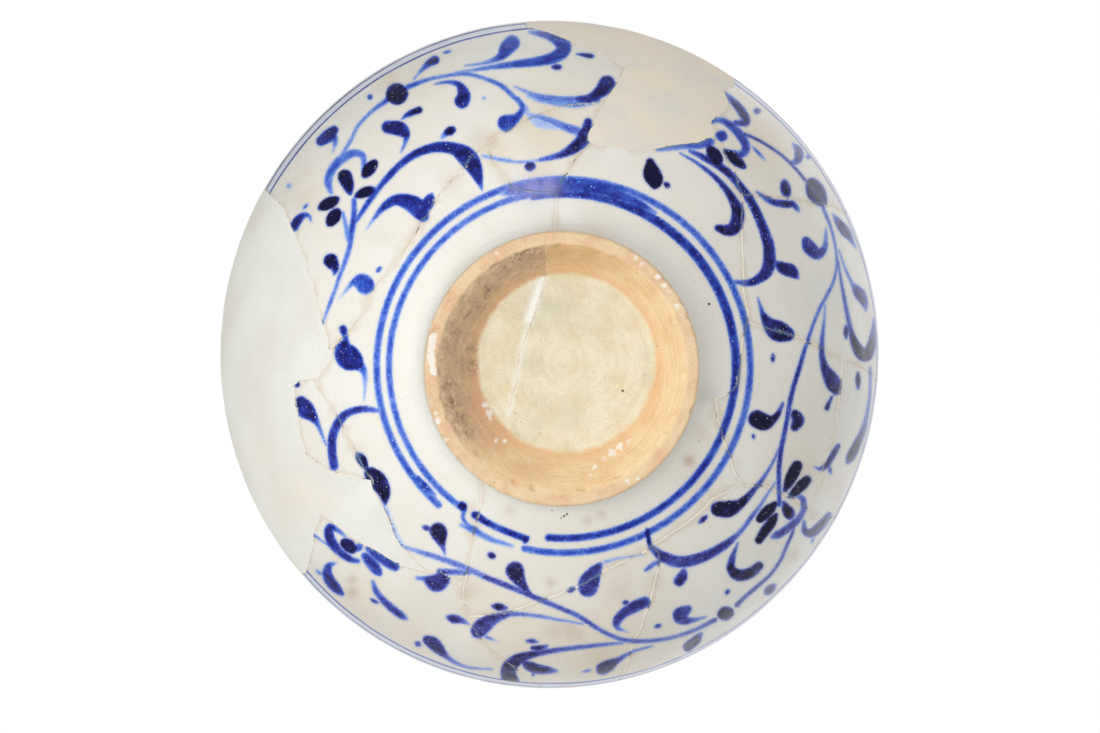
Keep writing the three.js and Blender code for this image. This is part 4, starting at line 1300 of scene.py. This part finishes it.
# The adhesive
# Clear resin, a little yellowed, stands in the joins as thin uneven beads. It is wide and milky in
# the lower joins, thin and brown in the upper ones, and hardly there along the plaster. Under it
# the painting of the edges shows dark. Each kind of join has its bead's size and how brown it is.
bead_kinds = {
    "tan": (0.8, 0.6), "upper_left": (0.8, 0.6), "foot_crack": (1.0, 0.2), "upper_right": (1.0, 0.4),
    "small_sherd": (1.0, 0.4), "fill_tip": (1.0, 0.4), "right": (1.3, 0.2), "lower_right": (1.3, 0.2),
    "bottom": (1.3, 0.2),
}
bead_by_plaster = (0.7, 0.15)
bead_in_foot = (0.7, 1.0)
plaster_sides = {name for _, names in fills.values() for name in names}
bead_radius = 0.1
bead_lowest = 1.4 * bead_radius
bead_highest = bowl_height - 1.9 * bead_radius
bead_sinks = (0.04, 0.13)
deeper_towards_lip = (0.8 * rim_way, 0.95 * rim_way)

resin, tree = new_material("yellowed_clear_resin")
place = add(tree, "ShaderNodeTexCoord", {}).outputs["Object"]
inked = add(tree, "ShaderNodeAttribute", {"attribute_name": "inked"}).outputs["Fac"]
aged = add(tree, "ShaderNodeAttribute", {"attribute_name": "aged"}).outputs["Fac"]
patches = add(tree, "ShaderNodeTexNoise", {}, {"Vector": place, "Scale": 1 / (4 * MM), "Detail": 6})
base = layered(tree, colour("#F5EFE3"), [
    (patches, 0.36, 0.56, 1, aged, "#C9B08C"),
    (inked, 0.05, 0.5, 0.85, None, "#34467F"),
])
finish_material(tree, {"Base Color": base, "Roughness": 0.3})


def new_tree(name, inputs):
    """A Geometry Nodes tree with the named inputs, and the outputs of its input node."""
    tree = bpy.data.node_groups.new(name, "GeometryNodeTree")
    for socket, kind in {"Geometry": "Geometry", **inputs, "Material": "Material"}.items():
        tree.interface.new_socket(socket, in_out="INPUT", socket_type="NodeSocket" + kind)
    tree.interface.new_socket("Geometry", in_out="OUTPUT", socket_type="NodeSocketGeometry")
    return tree, add(tree, "NodeGroupInput", {}).outputs


def finish_tree(tree, made, material):
    """Ends a tree: what it made becomes one real mesh with the material."""
    real = add(tree, "GeometryNodeRealizeInstances", {}, {"Geometry": made})
    real = add(tree, "GeometryNodeSetMaterial", {}, {"Geometry": real, "Material": material})
    add(tree, "NodeGroupOutput", {}, {0: real})


def grown(name, data, tree, values):
    """Runs a tree on a curve or mesh and keeps its result as a plain mesh object."""
    source = new_object(name + "_source", data)
    modifier = source.modifiers.new("grow", "NODES")
    modifier.node_group = tree
    for item in tree.interface.items_tree:
        if item.in_out == "INPUT" and item.name in values:
            modifier[item.identifier] = values[item.name]
    evaluated = source.evaluated_get(bpy.context.evaluated_depsgraph_get())
    mesh = bpy.data.meshes.new_from_object(evaluated)
    bpy.data.objects.remove(source)
    return new_object(name, mesh)


bead_tree, given = new_tree("resin_bead", {"Radius": "Float"})
lumps = add(bead_tree, "ShaderNodeTexNoise", {}, {"Scale": 1 / (1.4 * MM), "Detail": 2})
swell = add(bead_tree, "ShaderNodeMapRange", {},
            {"Value": lumps, "From Min": 0.3, "From Max": 0.7, "To Min": 0.7, "To Max": 1.15})
width = add(bead_tree, "ShaderNodeMath", {"operation": "MULTIPLY"}, {0: swell, 1: given["Radius"]})
share = add(bead_tree, "GeometryNodeInputNamedAttribute", {"data_type": "FLOAT"}, {"Name": "size"})
width = add(bead_tree, "ShaderNodeMath", {"operation": "MULTIPLY"}, {0: width, 1: share})
circle = add(bead_tree, "GeometryNodeCurvePrimitiveCircle", {}, {"Resolution": 8, "Radius": 1.0})
path = add(bead_tree, "GeometryNodeMeshToCurve", {}, {"Mesh": given["Geometry"]})
bead = add(bead_tree, "GeometryNodeCurveToMesh", {},
           {"Curve": path, "Profile Curve": circle, "Scale": width, "Fill Caps": True})
finish_tree(bead_tree, bead, given["Material"])


def under_surface(flat, sink):
    """Points of the underside, a little way into the wall."""
    points = worn(outside_of(flat), flat)
    return points + into_wall(points) * sink


join_points, join_edges, join_kinds = [], [], []
for name, line in break_lines.items():
    flat = line[::2]
    way = np.hypot(*flat.T)[:, None]
    start = sum(len(points) for points in join_points)
    join_points.append(under_surface(flat, np.interp(way, deeper_towards_lip, bead_sinks)))
    join_edges += [(start + index, start + index + 1) for index in range(len(flat) - 1)]
    kind = bead_by_plaster
    if name not in plaster_sides:
        kind = next(bead_kinds[one] for one in bead_kinds if name.startswith(one))
    join_kinds.append(np.where(way < glaze_edge_way, bead_in_foot, kind))
join_points = np.vstack(join_points)
join_points[:, 2] = np.clip(join_points[:, 2], bead_lowest, bead_highest)
facing = (into_wall(join_points) * (join_points - view_place)).sum(1) > 0
paint_edge, paint_depth, _ = paint_on(join_points, facing)
join_sizes, join_ages = np.vstack(join_kinds).T
joins = bpy.data.meshes.new("join_paths")
joins.from_pydata((join_points * MM).tolist(), join_edges, [])
inked = paint_depth * (paint_edge > -bead_radius)
for name, values in {"inked": inked, "size": join_sizes, "aged": join_ages}.items():
    give_attribute(joins, name, values)
join_adhesive = grown("join_adhesive", joins, bead_tree, {"Radius": bead_radius * MM, "Material": resin})
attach(join_adhesive, "root")


# The grit
# Coarse grains of the clay, ash and iron specks that the kiln left in the bare recess, with a few
# black specks in the glaze.
grain_count = 900
grain_radius = 0.07
speck_radius = 0.1
grain_seed = 3
speck_seed = 5
grain_sink = 0.4
grain_clearance = 1.6
iron_specks = [
    (564, 516, 2.2), (567, 514, 1.4), (561, 518, 1.3), (709, 304, 2.0), (494, 483, 1.4), (552, 510, 1.2),
    (657, 346, 1.0), (626, 329, 1.0), (623, 391, 1.8), (515, 413, 1.1), (516, 421, 1.1), (485, 259, 2.0),
    (530, 239, 2.2), (535, 235, 1.6), (438, 328, 1.8), (441, 413, 1.6), (580, 516, 1.0), (551, 515, 0.9),
    (699, 441, 1.2), (592, 473, 0.9), (506, 303, 0.9), (572, 298, 0.8), (590, 310, 0.8), (604, 403, 0.7),
]

# Fired sand is pale with buff patches, iron nearly black with brown ones, and both are matt. Each
# has the size of its patches, where they begin and are full, its two colours and its roughness.
grain_materials = []
for name, patch_size, begins, full, ground, patch, roughness in [
    ("grains_of_fired_sand", 0.8, 0.42, 0.58, "#F4E7CB", "#B98D63", 0.8),
    ("dark_iron_specks", 3, 0, 1, "#2E2420", "#6B4A36", 0.7),
]:
    material, tree = new_material(name)
    place = add(tree, "ShaderNodeTexCoord", {}).outputs["Object"]
    tone = add(tree, "ShaderNodeTexNoise", {},
               {"Vector": place, "Scale": 1 / (patch_size * MM), "Detail": 2})
    base = layered(tree, colour(ground), [(tone, begins, full, 1, None, patch)])
    finish_material(tree, {"Base Color": base, "Roughness": roughness})
    grain_materials.append(material)
sandy, iron = grain_materials

grain_tree, given = new_tree("scattered_grains", {"Radius": "Float", "Seed": "Int"})
size = add(grain_tree, "FunctionNodeRandomValue", {"data_type": "FLOAT"},
           {"Min": 0.4, "Max": 1.3, "Seed": given["Seed"]})
size = add(grain_tree, "ShaderNodeMath", {"operation": "MULTIPLY"}, {0: size, 1: given["Radius"]})
turn = add(grain_tree, "FunctionNodeRandomValue", {"data_type": "FLOAT_VECTOR"},
           {"Max": (6.3, 6.3, 6.3), "Seed": given["Seed"]})
share = add(grain_tree, "GeometryNodeInputNamedAttribute", {"data_type": "FLOAT"}, {"Name": "size"})
size = add(grain_tree, "ShaderNodeMath", {"operation": "MULTIPLY"}, {0: size, 1: share})
grain = add(grain_tree, "GeometryNodeMeshIcoSphere", {}, {"Radius": 1.0, "Subdivisions": 1})
points = add(grain_tree, "GeometryNodeMeshToPoints", {}, {"Mesh": given["Geometry"]})
grains = add(grain_tree, "GeometryNodeInstanceOnPoints", {},
             {"Points": points, "Instance": grain, "Rotation": turn, "Scale": size})
finish_tree(grain_tree, grains, given["Material"])


def scatter(name, flat, sizes, radius, seed, material):
    """Grains half sunk in the underside at places of the flat map, and none below the ring."""
    points = under_surface(flat, radius * grain_sink)
    points[:, 2] = np.maximum(points[:, 2], radius * grain_clearance * sizes)
    mesh = bpy.data.meshes.new(name + "_places")
    mesh.from_pydata((points * MM).tolist(), [], [])
    give_attribute(mesh, "size", sizes)
    made = grown(name, mesh, grain_tree, {"Radius": radius * MM, "Seed": seed, "Material": material})
    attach(made, "root")


chance = np.random.default_rng(7)
grain_way = way_at_radius(foot_radius) * np.sqrt(chance.uniform(0, 1, grain_count))
grain_turn = chance.uniform(0, 2 * math.pi, grain_count)
grain_flat = grain_way[:, None] * np.column_stack([np.cos(grain_turn), np.sin(grain_turn)])
grain_sizes = chance.uniform(0.3, 1, grain_count) ** 2
scatter("recess_grains", grain_flat, grain_sizes, grain_radius, grain_seed, sandy)
*speck_place, speck_sizes = np.array(iron_specks).T
scatter("iron_specks", flat_of(np.transpose(speck_place)), speck_sizes, speck_radius, speck_seed, iron)


# The stage
# A plain pale floor under the foot, which only a camera above it sees, and soft studio lamps on
# both sides of it, so that the underside and the mouth are lit alike. Polarising sheets keep the
# lamps' own images out of the glaze. Only a white screen behind the bowl's right side is mirrored.
floor_size = 3.0
floor_mesh = bpy.data.meshes.new("pale_floor")
half = floor_size / 2
corners = [(-half, -half, 0), (half, -half, 0), (half, half, 0), (-half, half, 0)]
floor_mesh.from_pydata(corners, [], [(0, 1, 2, 3)])
floor = new_object("pale_floor", floor_mesh)
floor.visible_shadow = False
floor.visible_diffuse = False
floor.visible_glossy = False
floor_paint, tree = new_material("pale_floor_paint")
paint = add(tree, "ShaderNodeBsdfDiffuse", {}, {"Color": colour("#F4F3F0")})
clear = add(tree, "ShaderNodeBsdfTransparent", {})
behind = add(tree, "ShaderNodeNewGeometry", {}).outputs["Backfacing"]
surface = add(tree, "ShaderNodeMixShader", {}, {0: behind, 1: paint, 2: clear})
add(tree, "ShaderNodeOutputMaterial", {}, {"Surface": surface})
floor_mesh.materials.append(floor_paint)

# Each lamp's place and size, in metres, and its power
lamps = {
    "key_below": ((-0.48, 0.28, -0.83), 1.2, 8.5),
    "fill_below": ((-0.10, -0.78, -0.50), 1.2, 3.95),
    "key_above": ((0.85, 0.05, 0.75), 1.2, 5.5),
    "fill_above": ((-0.45, 0.70, 0.80), 1.0, 3.5),
}
for name, (place, size, power) in lamps.items():
    lamp_data = bpy.data.lights.new(name, "AREA")
    lamp_data.size = size
    lamp_data.energy = power
    lamp = new_object(name, lamp_data)
    lamp.visible_glossy = False
    aim = Vector((0, 0, bowl_height * MM / 2)) - Vector(place)
    lamp.matrix_world = Matrix.Translation(place) @ aim.to_track_quat("-Z", "Y").to_matrix().to_4x4()

screen_side = (0.3, 0, 0.95)
world = bpy.data.worlds.new("studio")
bpy.context.scene.world = world
world.use_nodes = True
tree = world.node_tree
tree.nodes.clear()
rays = add(tree, "ShaderNodeLightPath", {}).outputs
seen = add(tree, "ShaderNodeMath", {"operation": "MAXIMUM"},
           {0: rays["Is Camera Ray"], 1: rays["Is Transmission Ray"]})
toward = add(tree, "ShaderNodeTexCoord", {}).outputs["Generated"]
nearness = add(tree, "ShaderNodeVectorMath", {"operation": "DOT_PRODUCT"},
               {0: toward, 1: Vector(screen_side).normalized()}).outputs["Value"]
mirrored = add(tree, "ShaderNodeMapRange", {},
               {"Value": nearness, "From Min": 0.7, "From Max": 0.92, "To Min": 0.12, "To Max": 0.85})
light = 0.5
for share, other in [(rays["Is Glossy Ray"], mirrored), (seen, 1.0)]:
    light = add(tree, "ShaderNodeMix", {"data_type": "FLOAT"}, {"Factor": share, "A": light, "B": other})
background = add(tree, "ShaderNodeBackground", {}, {"Color": (1, 1, 1, 1), "Strength": light})
add(tree, "ShaderNodeOutputWorld", {}, {"Surface": background})
bpy.context.scene.view_settings.view_transform = "Standard"
